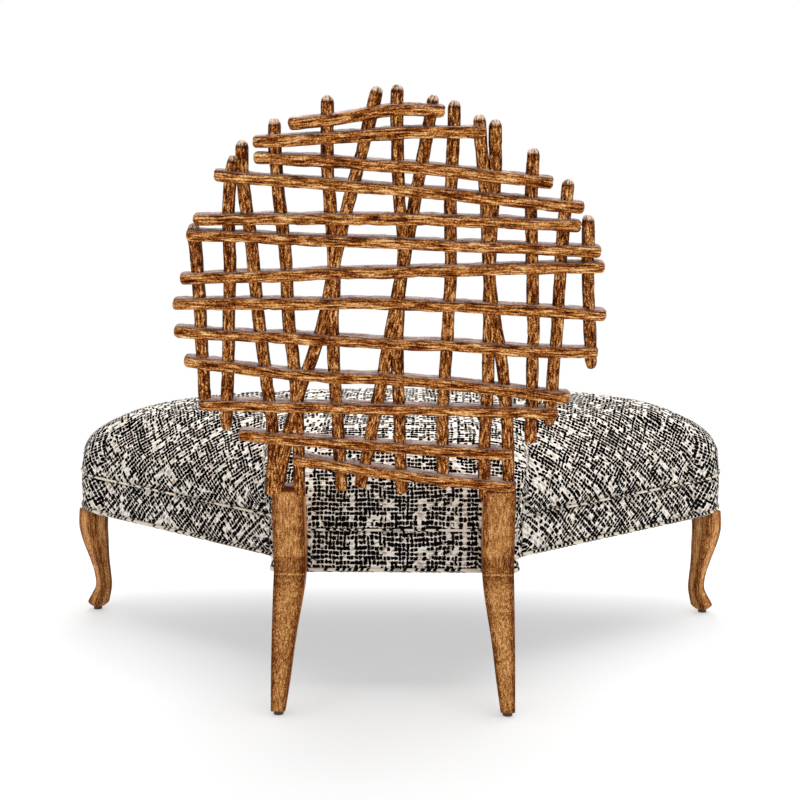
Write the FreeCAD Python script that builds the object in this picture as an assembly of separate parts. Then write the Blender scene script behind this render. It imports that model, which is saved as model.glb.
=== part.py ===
import FreeCAD, Part

import math
import os

os.makedirs("parts", exist_ok=True)

# Twig chair: a wide fan-shaped upholstered seat on four legs, with a raked back of crossing twigs.
# Lengths are in millimetres and angles in degrees.
# +Z is up, the sitter faces -Y, and the sitter's left is +X.
# Everything is drawn from the line between the rear feet, and moved at the end so that the origin
# lies at the middle of the chair's footprint on the floor.

Vector = FreeCAD.Vector

# Seat outline, seen from above
seat_width = 1492
seat_front_reach = 830
seat_back_setback = 140
seat_neck_width = 490
seat_neck_length = 106
seat_front_bow = 116
seat_rear_corner_radius = 12
seat_neck_radius = 60
seat_side_corner_radius = 150
seat_front_corner_radius = 70

# Seat heights
seat_bottom_height = 243
seat_seam_height = 327
crown_height = 190
crown_front_gap = 190
crown_neck_widening = 330
crown_neck_shortening = 36

# Upholstery
cover_thickness = 3
band_thickness = 3
welt_diameter = 5
dust_cover_thickness = 1.5
overhang_share = 0.005

# Seat frame
rail_thickness = 28
corner_block_reach = 146
rear_block_leg = 70
rear_block_lift = 6
rear_block_height = 36
stretcher_width = 45
stretcher_height = 40

# Springs
springs_each_side = 4
spring_side_gap = 80
spring_wire = 4
spring_width = 50
spring_pitch = 28
spring_drop = 9
clip_width = 36
clip_height = 12
clip_lip = 7
clip_root = 25

# Fasteners
dowel_diameter = 10
dowel_length = 40
dowel_spacing = 38
leg_bolt_diameter = 8
leg_bolt_leg_reach = 38
leg_bolt_spacing = 22
leg_bolt_inset = 10
leg_bolt_clearance = 1
leg_bolt_head_diameter = 16
leg_bolt_head_height = 5
hanger_bolt_diameter = 8
hanger_bolt_leg_reach = 45
hanger_bolt_block_reach = 55
block_screw_diameter = 4
block_screw_length = 41
block_screw_spacing = 18
block_screw_edge = 20
tack_head_diameter = 8
tack_head_height = 1.2
tack_shank_diameter = 1.6
tack_shank_length = 9
tack_inset = 17
tack_clearance = 42
tack_count = 30

# Rear legs and their posts
rear_leg_width = 62
rear_leg_inset = 11
rear_foot_depth = 32
post_knee_height = 260
post_knee_setback = 78
post_top_height = 432
post_top_depth = 44
rear_leg_heel_hollow = 15
rear_leg_toe_hollow = 8
post_shoulder_rise = 6

# Front legs
front_leg_width = 54
front_leg_inset = 35
front_leg_set_back = 64
front_leg_corner_share = 0.24

# Floor glides
glide_diameter = 19
glide_height = 10
glide_shank_diameter = 4
glide_shank_length = 18

# Twig lattice
lattice_width = 800
lattice_height = 800
lattice_foot_height = 400
lattice_rake_angle = 8
cross_twig_height = 22.5
cross_twig_depth = 32
upright_twig_width = 23
upright_twig_depth = 24
upright_twig_recess = 6
post_face_recess = 8
twig_tip_length = 8
twig_point_length = 16
twig_chamfer_share = 0.30
twig_swell_share = 0.06
blunt_tip_share = 0.67
pointed_tip_share = 0.33
lap_share = 0.5
notch_mouth = 6

# One overrun serves every cutting block
overrun = 20

# Routes of the cross twigs, left end first: places across and up the lattice
cross_route_shares = [
    [(0.230, 0.902), (0.136, 0.912), (-0.018, 0.936), (-0.117, 0.933)],
    [(0.310, 0.863), (0.115, 0.876), (-0.018, 0.885), (-0.210, 0.885)],
    [(0.309, 0.830), (-0.018, 0.809), (-0.361, 0.772)],
    [(0.400, 0.790), (-0.018, 0.756), (-0.432, 0.716)],
    [(0.451, 0.690), (-0.018, 0.690), (-0.426, 0.675)],
    [(0.468, 0.654), (-0.018, 0.635), (-0.473, 0.616)],
    [(0.487, 0.552), (-0.018, 0.569), (-0.483, 0.581)],
    [(0.507, 0.493), (-0.018, 0.494), (-0.491, 0.467)],
    [(0.507, 0.428), (-0.018, 0.399), (-0.155, 0.395), (-0.294, 0.383), (-0.475, 0.378)],
    [(0.487, 0.355), (0.193, 0.321), (-0.018, 0.312), (-0.413, 0.270)],
    [(0.455, 0.250), (-0.018, 0.239), (-0.386, 0.231)],
    [(0.366, 0.174), (-0.018, 0.144), (-0.283, 0.128)],
    [(0.239, 0.112), (-0.018, 0.076), (-0.292, 0.047)],
]

# Routes of the upright twigs, top end first, numbered from the left
upright_route_shares = [
    [(0.459, 0.680), (0.446, 0.528), (0.445, 0.387), (0.442, 0.250)],
    [(0.354, 0.832), (0.367, 0.747), (0.375, 0.528), (0.388, 0.303), (0.396, 0.183)],
    [(0.335, 0.868), (0.334, 0.765), (0.319, 0.603), (0.311, 0.459), (0.296, 0.317), (0.286, 0.150),
     (0.293, 0.020)],
    [(0.261, 0.914), (0.259, 0.790), (0.244, 0.603), (0.241, 0.460), (0.228, 0.280), (0.224, 0.014)],
    [(0.030, 0.984), (0.067, 0.843), (0.129, 0.603), (0.158, 0.460), (0.225, 0.259), (0.282, 0.022)],
    [(0.142, 0.965), (0.144, 0.787), (0.134, 0.560), (0.140, 0.420), (0.132, 0.230), (0.125, 0.033)],
    [(-0.012, 0.989), (-0.014, 0.760), (-0.026, 0.603), (-0.014, 0.500), (-0.020, 0.024)],
    [(-0.093, 0.965), (-0.071, 0.843), (-0.040, 0.665), (-0.010, 0.505), (0.031, 0.282), (0.080, 0.040)],
    [(-0.139, 0.954), (-0.132, 0.722), (-0.131, 0.529), (-0.118, 0.235), (-0.117, 0.038)],
    [(-0.193, 0.923), (-0.211, 0.722), (-0.227, 0.508), (-0.255, 0.341), (-0.268, 0.194), (-0.277, 0.030)],
    [(-0.229, 0.912), (-0.230, 0.781), (-0.222, 0.603), (-0.222, 0.302), (-0.216, 0.150), (-0.219, 0.006)],
    [(-0.315, 0.848), (-0.313, 0.722), (-0.324, 0.435), (-0.325, 0.155)],
    [(-0.395, 0.778), (-0.383, 0.590), (-0.379, 0.435), (-0.366, 0.195)],
    [(-0.442, 0.698), (-0.449, 0.508), (-0.462, 0.338)],
]

# Which uprights end in a long point below, and which yield where two of them cross
pointed_uprights = (2, 13, 14)
yielding_uprights = {2: (3,), 3: (5,), 5: (4, 6), 8: (7,), 11: (10,)}
sliver_share = 0.02

# Crown of the seat: rise, draw-in across, draw-in front to back
crown_shares = [
    (0.00, 0.000, 0.000),
    (0.10, -overhang_share, -overhang_share),
    (0.22, -overhang_share, -overhang_share),
    (0.36, 0.016, 0.030),
    (0.50, 0.060, 0.120),
    (0.62, 0.118, 0.200),
    (0.73, 0.188, 0.290),
    (0.83, 0.290, 0.400),
    (0.91, 0.420, 0.560),
    (0.96, 0.570, 0.700),
    (0.99, 0.740, 0.800),
    (1.00, 0.900, 0.930),
]

# Cabriole leg: place up the leg, girth against the top, sway against the top
front_leg_shares = [
    (1.000, 1.000, 0.000),
    (0.910, 1.030, 0.020),
    (0.810, 1.010, 0.030),
    (0.670, 0.905, -0.040),
    (0.500, 0.705, -0.165),
    (0.350, 0.590, -0.280),
    (0.220, 0.575, -0.320),
    (0.130, 0.655, -0.215),
    (0.050, 0.735, -0.095),
    (0.000, 0.660, -0.025),
]

# Rear leg: place up to the knee, and width against the post
rear_leg_width_shares = [
    (0.00, 0.45),
    (0.22, 0.58),
    (0.43, 0.68),
    (0.57, 0.76),
    (0.71, 0.86),
    (0.85, 0.95),
    (1.00, 1.00),
]

# Worked out from the sizes above
seat_widest_reach = seat_front_reach - seat_front_bow
crown_centre_reach = seat_front_reach - crown_front_gap
welt_radius = welt_diameter / 2
band_bottom = seat_bottom_height + welt_diameter
band_top = seat_seam_height - welt_radius
crown_base = seat_seam_height + welt_radius
rail_bottom = seat_bottom_height + dust_cover_thickness
rail_inner = band_thickness + rail_thickness
spring_level = band_top - spring_drop
post_front_setback = seat_back_setback - welt_radius
lattice_setback = post_knee_setback - post_face_recess
rear_leg_outer_x = seat_neck_width / 2 - rear_leg_inset
front_leg_x = seat_width / 2 - front_leg_inset
front_leg_reach = seat_widest_reach - front_leg_set_back
block_x = seat_width / 2 - corner_block_reach
spring_spacing = (block_x - spring_side_gap) / springs_each_side
leg_bolt_drop = spring_drop + (clip_height + leg_bolt_head_diameter) / 2 + leg_bolt_clearance
rake = math.radians(lattice_rake_angle)
lap_depth = upright_twig_recess + lap_share * (cross_twig_depth - upright_twig_recess)
sides = (("left", 1), ("right", -1))


def save(shape, node):
    """Keep a finished sub-part under its name until all are placed."""
    finished[node] = shape


def in_lattice(across, up, depth):
    """Turn a place in the raked back into a place in space.

    up is measured along the rake from the floor, and depth rearward from the back's rear plane.
    """
    rise = up - post_knee_height
    y = -lattice_setback + rise * math.sin(rake) + depth * math.cos(rake)
    z = post_knee_height + rise * math.cos(rake) - depth * math.sin(rake)
    return Vector(across, y, z)


def solid_from_rings(rings):
    """Close a row of alike flat rings into a solid with flat faces."""
    faces = []
    for ring in (rings[0], rings[-1]):
        faces.append(Part.Face(Part.makePolygon(ring + [ring[0]])))
    count = len(rings[0])
    for lower, upper in zip(rings, rings[1:]):
        for i in range(count):
            j = (i + 1) % count
            corners = [lower[i], lower[j], upper[j], upper[i], lower[i]]
            faces.append(Part.Face(Part.makePolygon(corners)))
    shell = Part.makeShell(faces)
    shell.sewShape()
    solid = Part.makeSolid(shell)
    if solid.Volume < 0:
        solid.reverse()
    return solid


def eight_sided(half_a, half_b):
    """Corners of a rectangle with its corners cut off, as pairs."""
    cut = 2 * twig_chamfer_share * min(half_a, half_b)
    return [
        (half_a, half_b - cut), (half_a - cut, half_b), (cut - half_a, half_b), (-half_a, half_b - cut),
        (-half_a, cut - half_b), (cut - half_a, -half_b), (half_a - cut, -half_b), (half_a, cut - half_b),
    ]


def along(points, reach, from_start):
    """The place on a route at a given reach from one of its ends."""
    first, second = (points[0], points[1]) if from_start else (points[-1], points[-2])
    length = math.dist(first, second)
    share = reach / length
    return tuple(a + share * (b - a) for a, b in zip(first, second))


def stations(route_shares, number, pointed=False):
    """Places and girths along a twig: a blunt tip, the swelling body and a blunt or pointed tip."""
    points = [(a * lattice_width, lattice_foot_height + b * lattice_height) for a, b in route_shares]
    start = along(points, twig_tip_length, True)
    end = along(points, twig_point_length if pointed else twig_tip_length, False)
    body = [start] + points[1:-1] + [end]
    rows = [(points[0], blunt_tip_share)]
    for i, place in enumerate(body):
        rows.append((place, 1 + twig_swell_share * math.sin(2 * i + number)))
    rows.append((points[-1], pointed_tip_share if pointed else blunt_tip_share))
    return rows


def cross_twig(number, route_shares):
    """One twig that runs across the back."""
    profile = eight_sided(cross_twig_height / 2, cross_twig_depth / 2)
    rings = []
    for (across, up), girth in stations(route_shares, number):
        ring = [in_lattice(across, up + girth * a, girth * b - cross_twig_depth / 2) for a, b in profile]
        rings.append(ring)
    return solid_from_rings(rings)


def upright_twig(number, route_shares):
    """One twig that runs up the back."""
    profile = eight_sided(upright_twig_width / 2, upright_twig_depth / 2)
    middle = upright_twig_recess + upright_twig_depth / 2
    pointed = number in pointed_uprights
    rings = []
    for (across, up), girth in stations(route_shares, number, pointed):
        rings.append([in_lattice(across + girth * a, up, girth * b - middle) for a, b in profile])
    return solid_from_rings(rings)


def lattice_slab(depth_from, depth_to):
    """A flat slab over the whole back, between two depths."""
    half = lattice_width / 2 + cross_twig_depth + overrun
    low = lattice_foot_height - overrun
    high = lattice_foot_height + lattice_height + overrun
    corners = [(-half, depth_from), (half, depth_from), (half, depth_to), (-half, depth_to)]
    return solid_from_rings([[in_lattice(a, up, b) for a, b in corners] for up in (low, high)])


def without_slivers(shape):
    """Leave out the offcuts of a joint."""
    limit = sliver_share * max(solid.Volume for solid in shape.Solids)
    return Part.makeCompound([solid for solid in shape.Solids if solid.Volume > limit])


def near(shape, others):
    """The shapes whose boxes meet a shape's box."""
    return [other for other in others if shape.BoundBox.intersect(other.BoundBox)]


def cut_by(shape, tools):
    """A shape less every tool that comes near it."""
    close = near(shape, tools)
    return shape.cut(close) if close else shape


def make_lattice():
    """All twigs, halved into each other where they cross."""
    crosses = [cross_twig(i + 1, route) for i, route in enumerate(cross_route_shares)]
    whole = {i + 1: upright_twig(i + 1, route) for i, route in enumerate(upright_route_shares)}
    uprights = []
    for number, twig in whole.items():
        if number in yielding_uprights:
            twig = twig.cut([whole[other] for other in yielding_uprights[number]])
            twig = without_slivers(twig)
        uprights.append(twig)
    rear_slab = lattice_slab(-lap_depth, overrun)
    front_slab = lattice_slab(-cross_twig_depth - overrun, -lap_depth)
    cross_rears = [twig.common(rear_slab) for twig in crosses]
    upright_fronts = [twig.common(front_slab) for twig in uprights]
    mouth = in_lattice(0, 0, 0) - in_lattice(0, 0, notch_mouth)
    notches = upright_fronts + [twig.translated(mouth) for twig in upright_fronts]
    crosses = [without_slivers(cut_by(twig, notches)) for twig in crosses]
    uprights = [without_slivers(cut_by(twig, cross_rears)) for twig in uprights]
    return crosses, uprights


def arc(first, middle, last):
    """An arc edge through three places."""
    return Part.Arc(first, middle, last).toShape()


def on_circle(centre, radius, angle):
    """A place on a level circle, by its angle."""
    return centre + Vector(radius * math.cos(angle), radius * math.sin(angle), 0)


def arc_points(centre, radius, start, end):
    """Start, middle and end of an arc of a level circle."""
    return tuple(on_circle(centre, radius, a) for a in (start, (start + end) / 2, end))


def mirrored(point):
    """The same place on the other side of the chair."""
    return Vector(-point.x, point.y, point.z)


def neck_end(spread):
    """Where the seat's neck meets its side, spread towards the crown's fuller neck."""
    x = seat_neck_width / 2 + spread * crown_neck_widening / 2
    y = -seat_back_setback - seat_neck_length + spread * crown_neck_shortening
    return Vector(x, y, 0)


def side_corner():
    """Middle of the side corner's arc."""
    return Vector(seat_width / 2 - seat_side_corner_radius, -seat_widest_reach, 0)


def flare_from(start):
    """Angle of the straight side that runs from the neck and just touches the side corner."""
    gap = side_corner() - start
    return math.atan2(-gap.y, gap.x) - math.asin(seat_side_corner_radius / gap.Length)


def seat_flare():
    """Angle of the seat's straight side against the back."""
    return flare_from(neck_end(0))


def seat_outline(spread=0):
    """The fan's outline as rows of two points for a line and three for an arc, at floor level."""
    back = -seat_back_setback
    neck = neck_end(spread)
    corner = side_corner()
    turned = flare_from(neck)
    front_corner = Vector(seat_width / 2 - seat_front_corner_radius, corner.y, 0)
    gap = corner.y + seat_front_reach
    radius = seat_front_corner_radius
    bow = (front_corner.x ** 2 + gap ** 2 - radius ** 2) / 2 / (gap - radius)
    bow_centre = Vector(0, bow - seat_front_reach, 0)
    front_angle = math.atan2(front_corner.y - bow_centre.y, front_corner.x - bow_centre.x)
    turn = math.pi / 2 - turned
    trim = seat_neck_radius * math.tan(turn / 2)
    neck_centre = Vector(neck.x + seat_neck_radius, neck.y + trim, 0)
    rear_corner = Vector(neck.x - seat_rear_corner_radius, back - seat_rear_corner_radius, 0)
    rear_turn = arc_points(rear_corner, seat_rear_corner_radius, math.pi / 2, 0)
    neck_turn = arc_points(neck_centre, seat_neck_radius, math.pi, math.pi + turn)
    side_turn = arc_points(corner, seat_side_corner_radius, turn, 0)
    front_turn = arc_points(front_corner, seat_front_corner_radius, 0, front_angle)
    half_rows = [
        rear_turn,
        (rear_turn[-1], neck_turn[0]),
        neck_turn,
        (neck_turn[-1], side_turn[0]),
        side_turn,
        front_turn,
    ]
    front = (front_turn[-1], Vector(0, -seat_front_reach, 0), mirrored(front_turn[-1]))
    other = [tuple(mirrored(p) for p in reversed(row)) for row in reversed(half_rows)]
    back_row = (mirrored(rear_turn[0]), rear_turn[0])
    return [back_row] + half_rows + [front] + other


def wire_of(rows, place):
    """A closed wire from outline rows, each point moved by a function."""
    edges = []
    for row in rows:
        points = [place(p) for p in row]
        edges.append(arc(*points) if len(points) == 3 else Part.makeLine(*points))
    return Part.Wire(edges)


def level_outline(height, inset=0):
    """The seat's outline at a height, drawn in evenly."""
    wire = wire_of(seat_outline(), lambda p: Vector(p.x, p.y, height))
    return wire.makeOffset2D(-inset) if inset else wire


def seat_prism(bottom, top, inset=0):
    """A straight block with the seat's outline."""
    return Part.Face(level_outline(bottom, inset)).extrude(Vector(0, 0, top - bottom))


def crown_solid(skin):
    """The crowned block above the seam, less a skin of even thickness."""
    half_depth = (seat_front_reach - seat_back_setback) / 2
    rise = crown_height - skin
    wires = []
    for up_share, across_share, deep_share in crown_shares:
        across = 1 - across_share - 2 * skin / seat_width
        deep = 1 - deep_share - skin / half_depth
        height = crown_base + up_share * rise

        def place(p, across=across, deep=deep, height=height):
            y = -crown_centre_reach + deep * (p.y + crown_centre_reach)
            return Vector(across * p.x, y, height)

        wires.append(wire_of(seat_outline(up_share ** 2), place))
    return Part.makeLoft(wires, True, True)


def make_seat_soft():
    """Foam, cover, band, deck pad and dust cover."""
    foam = crown_solid(cover_thickness)
    save(foam, "seat_foam")
    save(crown_solid(0).cut(foam), "seat_cover")
    band_inside = seat_prism(band_bottom, band_top, band_thickness)
    save(seat_prism(band_bottom, band_top).cut(band_inside), "side_band")
    save(seat_prism(band_top, crown_base, band_thickness), "deck_pad")
    save(seat_prism(seat_bottom_height, rail_bottom, band_thickness), "dust_cover")


def welt_ring(height):
    """A round cord around the whole seat."""
    path = level_outline(height)
    start = path.Vertexes[0].Point
    first = path.Edges[0]
    direction = first.tangentAt(first.FirstParameter)
    profile = Part.Wire([Part.makeCircle(welt_radius, start, direction)])
    return path.makePipeShell([profile], True, False)


def make_welts():
    """The cords along the seam and the hem, and up beside the posts."""
    save(welt_ring(seat_seam_height), "seam_welt")
    save(welt_ring(seat_bottom_height + welt_radius), "hem_welt")
    inner = rear_leg_outer_x - rear_leg_width - welt_radius
    trims = []
    for _, side in sides:
        foot = Vector(side * inner, welt_radius - seat_back_setback, band_bottom)
        trims.append(Part.makeCylinder(welt_radius, band_top - band_bottom, foot))
    save(Part.makeCompound(trims), "back_panel_trims")


def block(low, high):
    """A box between two opposite corners."""
    return Part.makeBox(high.x - low.x, high.y - low.y, high.z - low.z, low)


def make_frame():
    """The rails and blocks that carry the seat."""
    outer = seat_prism(rail_bottom, band_top, band_thickness)
    inner = seat_prism(rail_bottom, band_top, rail_inner)
    ring = outer.cut(inner)
    far = seat_width
    back_edge = -seat_back_setback - rail_inner
    low_z = rail_bottom - overrun
    high_z = band_top + overrun
    back_zone = block(Vector(-far, back_edge, low_z), Vector(far, 0, high_z))
    save(ring.common(back_zone), "back_rail")
    front_zone = block(Vector(-block_x, -far, low_z), Vector(block_x, front_split(), high_z))
    save(ring.common(front_zone), "front_rail")
    for name, side in sides:
        ends = sorted((side * block_x, 0))
        side_zone = block(Vector(ends[0], front_split(), low_z), Vector(ends[1], back_edge, high_z))
        save(ring.common(side_zone), "side_rail_" + name)
        ends = sorted((side * block_x, side * far))
        corner_zone = block(Vector(ends[0], -far, low_z), Vector(ends[1], 0, high_z))
        save(outer.common(corner_zone), "front_corner_block_" + name)
    stretchers = []
    for _, side in sides:
        middle = side * spring_spacing / 2
        low = Vector(middle - stretcher_width / 2, -seat_front_reach, rail_bottom)
        high = Vector(middle + stretcher_width / 2, -seat_back_setback, rail_bottom + stretcher_height)
        stretchers.append(block(low, high).common(inner))
    save(Part.makeCompound(stretchers), "seat_stretchers")
    make_rear_blocks()


def front_split():
    """Where the front rail's zone meets the side rails' zone."""
    return -(seat_front_reach + front_leg_reach) / 2


def rear_block_corner(side):
    """The inner corner of back rail and side rail."""
    return Vector(side * (seat_neck_width / 2 - rail_inner), -seat_back_setback - rail_inner, 0)


def make_rear_blocks():
    """Three-cornered blocks behind the posts."""
    blocks = []
    for _, side in sides:
        corner = rear_block_corner(side) + Vector(0, 0, rail_bottom + rear_block_lift)
        along_back = corner + Vector(-side * rear_block_leg, 0, 0)
        along_side = corner + Vector(0, -rear_block_leg, 0)
        face = Part.Face(Part.makePolygon([corner, along_back, along_side, corner]))
        blocks.append(face.extrude(Vector(0, 0, rear_block_height)))
    save(Part.makeCompound(blocks), "rear_corner_blocks")


def inner_edge(x, toward_y):
    """Where the frame's inner face lies at a place across, looking from the seat's middle."""
    line = Part.makeLine(Vector(x, -seat_widest_reach, 0), Vector(x, toward_y, 0))
    return line.distToShape(level_outline(0, rail_inner))[1][0][0].y


def sinuous_wire(x, back_y, front_y):
    """One zigzag spring lying level, from the back clip to the front clip."""
    bend = spring_pitch / 2
    half = spring_width / 2 - bend
    span = back_y - front_y - 2 * (clip_lip + spring_wire)
    runs = 2 * int(span / spring_pitch / 2) + 1
    slack = (span - (runs - 1) * spring_pitch) / 2
    y = back_y - clip_lip - spring_wire - slack
    edges = []
    way = 1
    for i in range(runs):
        start = Vector(x - way * half, y, spring_level)
        end = Vector(x + way * half, y, spring_level)
        edges.append(Part.makeLine(start, end))
        if i < runs - 1:
            tip = Vector(end.x + way * bend, y - bend, spring_level)
            after = Vector(end.x, y - spring_pitch, spring_level)
            edges.append(arc(end, tip, after))
        y -= spring_pitch
        way = -way
    path = Part.Wire(edges)
    ring = Part.makeCircle(spring_wire / 2, path.Vertexes[0].Point, Vector(1, 0, 0))
    wire = path.makePipeShell([Part.Wire([ring])], True, False)
    return wire, back_y - clip_lip - spring_wire - slack, y + spring_pitch


def spring_clip(x, rail_y, wire_y):
    """A clip from the rail's inner face round the spring's last run."""
    toward = 1 if rail_y > wire_y else -1
    root = rail_y + toward * clip_root
    tip = wire_y - toward * (spring_wire / 2 + clip_lip / 2)
    low = Vector(x - clip_width / 2, min(root, tip), spring_level - clip_height / 2)
    high = Vector(x + clip_width / 2, max(root, tip), spring_level + clip_height / 2)
    return block(low, high)


def make_springs():
    """Sinuous springs from back to front, each held by a clip at both ends."""
    springs = []
    clips = []
    rails = [finished[n] for n in ("back_rail", "front_rail", "side_rail_left", "side_rail_right")]
    for i in range(-springs_each_side, springs_each_side + 1):
        x = i * spring_spacing
        outer_x = x + math.copysign(spring_width / 2, x)
        back_y = inner_edge(outer_x, 0)
        front_y = inner_edge(outer_x, -seat_width)
        spring, first_y, last_y = sinuous_wire(x, back_y, front_y)
        springs.append(spring)
        for rail_y, wire_y in ((inner_edge(x, 0), first_y), (inner_edge(x, -seat_width), last_y)):
            clips.append(spring_clip(x, rail_y, wire_y).cut(rails + [spring]).Solids[0])
    save(Part.makeCompound(springs), "seat_springs")
    save(Part.makeCompound(clips), "spring_clips")


def rod(diameter, length, foot, direction):
    """A round bar from a place in a direction."""
    return Part.makeCylinder(diameter / 2, length, foot, direction)


def frame_dowels():
    """Dowels across the joints of the frame, along the rails that they join."""
    flare = seat_flare()
    front_y = inner_edge(block_x, -seat_width) - rail_thickness / 2
    side_y = inner_edge(block_x, 0) + rail_thickness / 2 / math.cos(flare)
    neck_x = seat_neck_width / 2 - band_thickness - rail_thickness / 2
    joints = (
        (block_x, front_y, Vector(1, 0, 0)),
        (block_x, side_y, Vector(math.cos(flare), -math.sin(flare), 0)),
        (neck_x, -seat_back_setback - rail_inner, Vector(0, 1, 0)),
    )
    rods = []
    mid = (rail_bottom + band_top) / 2
    for _, side in sides:
        for x, y, direction in joints:
            way = Vector(side * direction.x, direction.y, 0)
            for step in (-1, 1):
                middle = Vector(side * x, y, mid + step * dowel_spacing / 2)
                rods.append(rod(dowel_diameter, dowel_length, middle - way * (dowel_length / 2), way))
    return rods


def rear_leg_bolts():
    """Bolts side by side from inside the back rail into each post."""
    bolts = []
    inside = -seat_back_setback - rail_inner
    length = rail_inner + welt_radius + leg_bolt_leg_reach
    outer_x = seat_neck_width / 2 - rail_inner - leg_bolt_inset
    for _, side in sides:
        for x in (outer_x, outer_x - leg_bolt_spacing):
            foot = Vector(side * x, inside, band_top - leg_bolt_drop)
            shank = rod(leg_bolt_diameter, length, foot, Vector(0, 1, 0))
            head = rod(leg_bolt_head_diameter, leg_bolt_head_height, foot, Vector(0, -1, 0))
            bolts.append(shank.fuse(head).removeSplitter())
    return bolts


def hanger_bolts():
    """Upright bolts that join the front legs to the corner blocks."""
    length = hanger_bolt_leg_reach + hanger_bolt_block_reach
    bolts = []
    for _, side in sides:
        foot = front_leg_top(side) - Vector(0, 0, hanger_bolt_leg_reach)
        bolts.append(rod(hanger_bolt_diameter, length, foot, Vector(0, 0, 1)))
    return bolts


def block_screws():
    """Screws through the rear corner blocks into both rails."""
    screws = []
    mid = rail_bottom + rear_block_lift + rear_block_height / 2
    reach = rear_block_leg - block_screw_edge
    for _, side in sides:
        corner = rear_block_corner(side)
        for step in (-1, 1):
            lift = Vector(0, 0, mid + step * block_screw_spacing / 2)
            to_back = corner + lift + Vector(-side * reach, -block_screw_edge, 0)
            to_side = corner + lift + Vector(-side * block_screw_edge, -reach, 0)
            screws.append(rod(block_screw_diameter, block_screw_length, to_back, Vector(0, 1, 0)))
            screws.append(rod(block_screw_diameter, block_screw_length, to_side, Vector(side, 0, 0)))
    return screws


def dust_cover_tacks():
    """Tacks that hold the dust cover to the underside of the frame."""
    tacks = []
    path = level_outline(seat_bottom_height, tack_inset)
    legs = [front_leg_top(side) for _, side in sides]
    for place in path.discretize(tack_count + 1)[:-1]:
        if min(place.distanceToPoint(leg) for leg in legs) < tack_clearance:
            continue
        head = rod(tack_head_diameter, tack_head_height, place, Vector(0, 0, -1))
        shank = rod(tack_shank_diameter, tack_shank_length, place, Vector(0, 0, 1))
        tacks.append(head.fuse(shank).removeSplitter())
    return tacks


def rear_leg_face_profile(side):
    """Outline of a rear leg seen from behind: straight outside, tapering inside."""
    outer = side * rear_leg_outer_x
    points = []
    for up_share, width_share in rear_leg_width_shares:
        z = glide_height + up_share * (post_knee_height - glide_height)
        points.append(Vector(outer - side * width_share * rear_leg_width, 0, z))
    top = post_top_height + overrun
    curve = Part.BSplineCurve()
    curve.interpolate(points)
    inner_top = Vector(points[-1].x, 0, top)
    outer_top = Vector(outer, 0, top)
    outer_foot = Vector(outer, 0, glide_height)
    edges = [
        curve.toShape(),
        Part.makeLine(points[-1], inner_top),
        Part.makeLine(inner_top, outer_top),
        Part.makeLine(outer_top, outer_foot),
        Part.makeLine(outer_foot, points[0]),
    ]
    return Part.Face(Part.Wire(edges))


def rear_leg_side_profile():
    """Outline of a rear leg seen from the side: a sabre foot below a raked post."""
    half_foot = rear_foot_depth / 2
    knee = Vector(0, -post_knee_setback, post_knee_height)
    heel = Vector(0, half_foot, glide_height)
    toe = Vector(0, -half_foot, glide_height)
    front_knee = Vector(0, -post_front_setback, seat_bottom_height)
    front_shoulder = Vector(0, -post_front_setback, crown_base + post_shoulder_rise)
    upright_face = lattice_setback - post_knee_setback
    rear_top = in_lattice(0, post_top_height, upright_face)
    front_top = in_lattice(0, post_top_height, upright_face - post_top_depth)
    rear_mid = (heel + knee) / 2 + Vector(0, rear_leg_heel_hollow, 0)
    front_mid = (toe + front_knee) / 2 + Vector(0, rear_leg_toe_hollow, 0)
    edges = [
        arc(heel, rear_mid, knee),
        Part.makeLine(knee, rear_top),
        Part.makeLine(rear_top, front_top),
        Part.makeLine(front_top, front_shoulder),
        Part.makeLine(front_shoulder, front_knee),
        arc(front_knee, front_mid, toe),
        Part.makeLine(toe, heel),
    ]
    return Part.Face(Part.Wire(edges))


def rear_leg(side, twigs):
    """One rear leg with its post, socketed for the twigs that stand on it."""
    reach = seat_width
    from_side = rear_leg_side_profile().extrude(Vector(side * reach, 0, 0))
    face = rear_leg_face_profile(side)
    face.translate(Vector(0, -reach, 0))
    from_behind = face.extrude(Vector(0, 2 * reach, 0))
    return without_slivers(cut_by(from_side.common(from_behind), twigs))


def front_leg_top(side):
    """Middle of a front leg's top face."""
    return Vector(side * front_leg_x, -front_leg_reach, seat_bottom_height)


def front_leg_sway(side):
    """Which way a front leg swings out, across the corner of the seat."""
    angle = math.pi / 4 - seat_flare()
    return Vector(side * math.cos(angle), math.sin(angle), 0)


def rounded_square(centre, width, angle):
    """A level square wire with round corners, turned about its middle."""
    half = width / 2
    radius = front_leg_corner_share * width
    flat = half - radius
    nose = flat + radius * math.sqrt(0.5)
    edges = []
    for quarter in range(4):
        turn = angle + quarter * math.pi / 2

        def spot(a, b, turn=turn):
            x = a * math.cos(turn) - b * math.sin(turn)
            y = a * math.sin(turn) + b * math.cos(turn)
            return centre + Vector(x, y, 0)

        edges.append(Part.makeLine(spot(half, -flat), spot(half, flat)))
        edges.append(arc(spot(half, flat), spot(nose, nose), spot(flat, half)))
    return Part.Wire(edges)


def front_leg(side):
    """One cabriole leg, lofted along its sway towards the corner of the seat."""
    top = front_leg_top(side)
    height = seat_bottom_height - glide_height
    sway = front_leg_sway(side)
    wires = []
    for up_share, girth_share, sway_share in front_leg_shares:
        centre = top + Vector(0, 0, (up_share - 1) * height) + sway * (sway_share * front_leg_width)
        wires.append(rounded_square(centre, girth_share * front_leg_width, -side * seat_flare()))
    return Part.makeLoft(wires, True, False)


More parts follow.
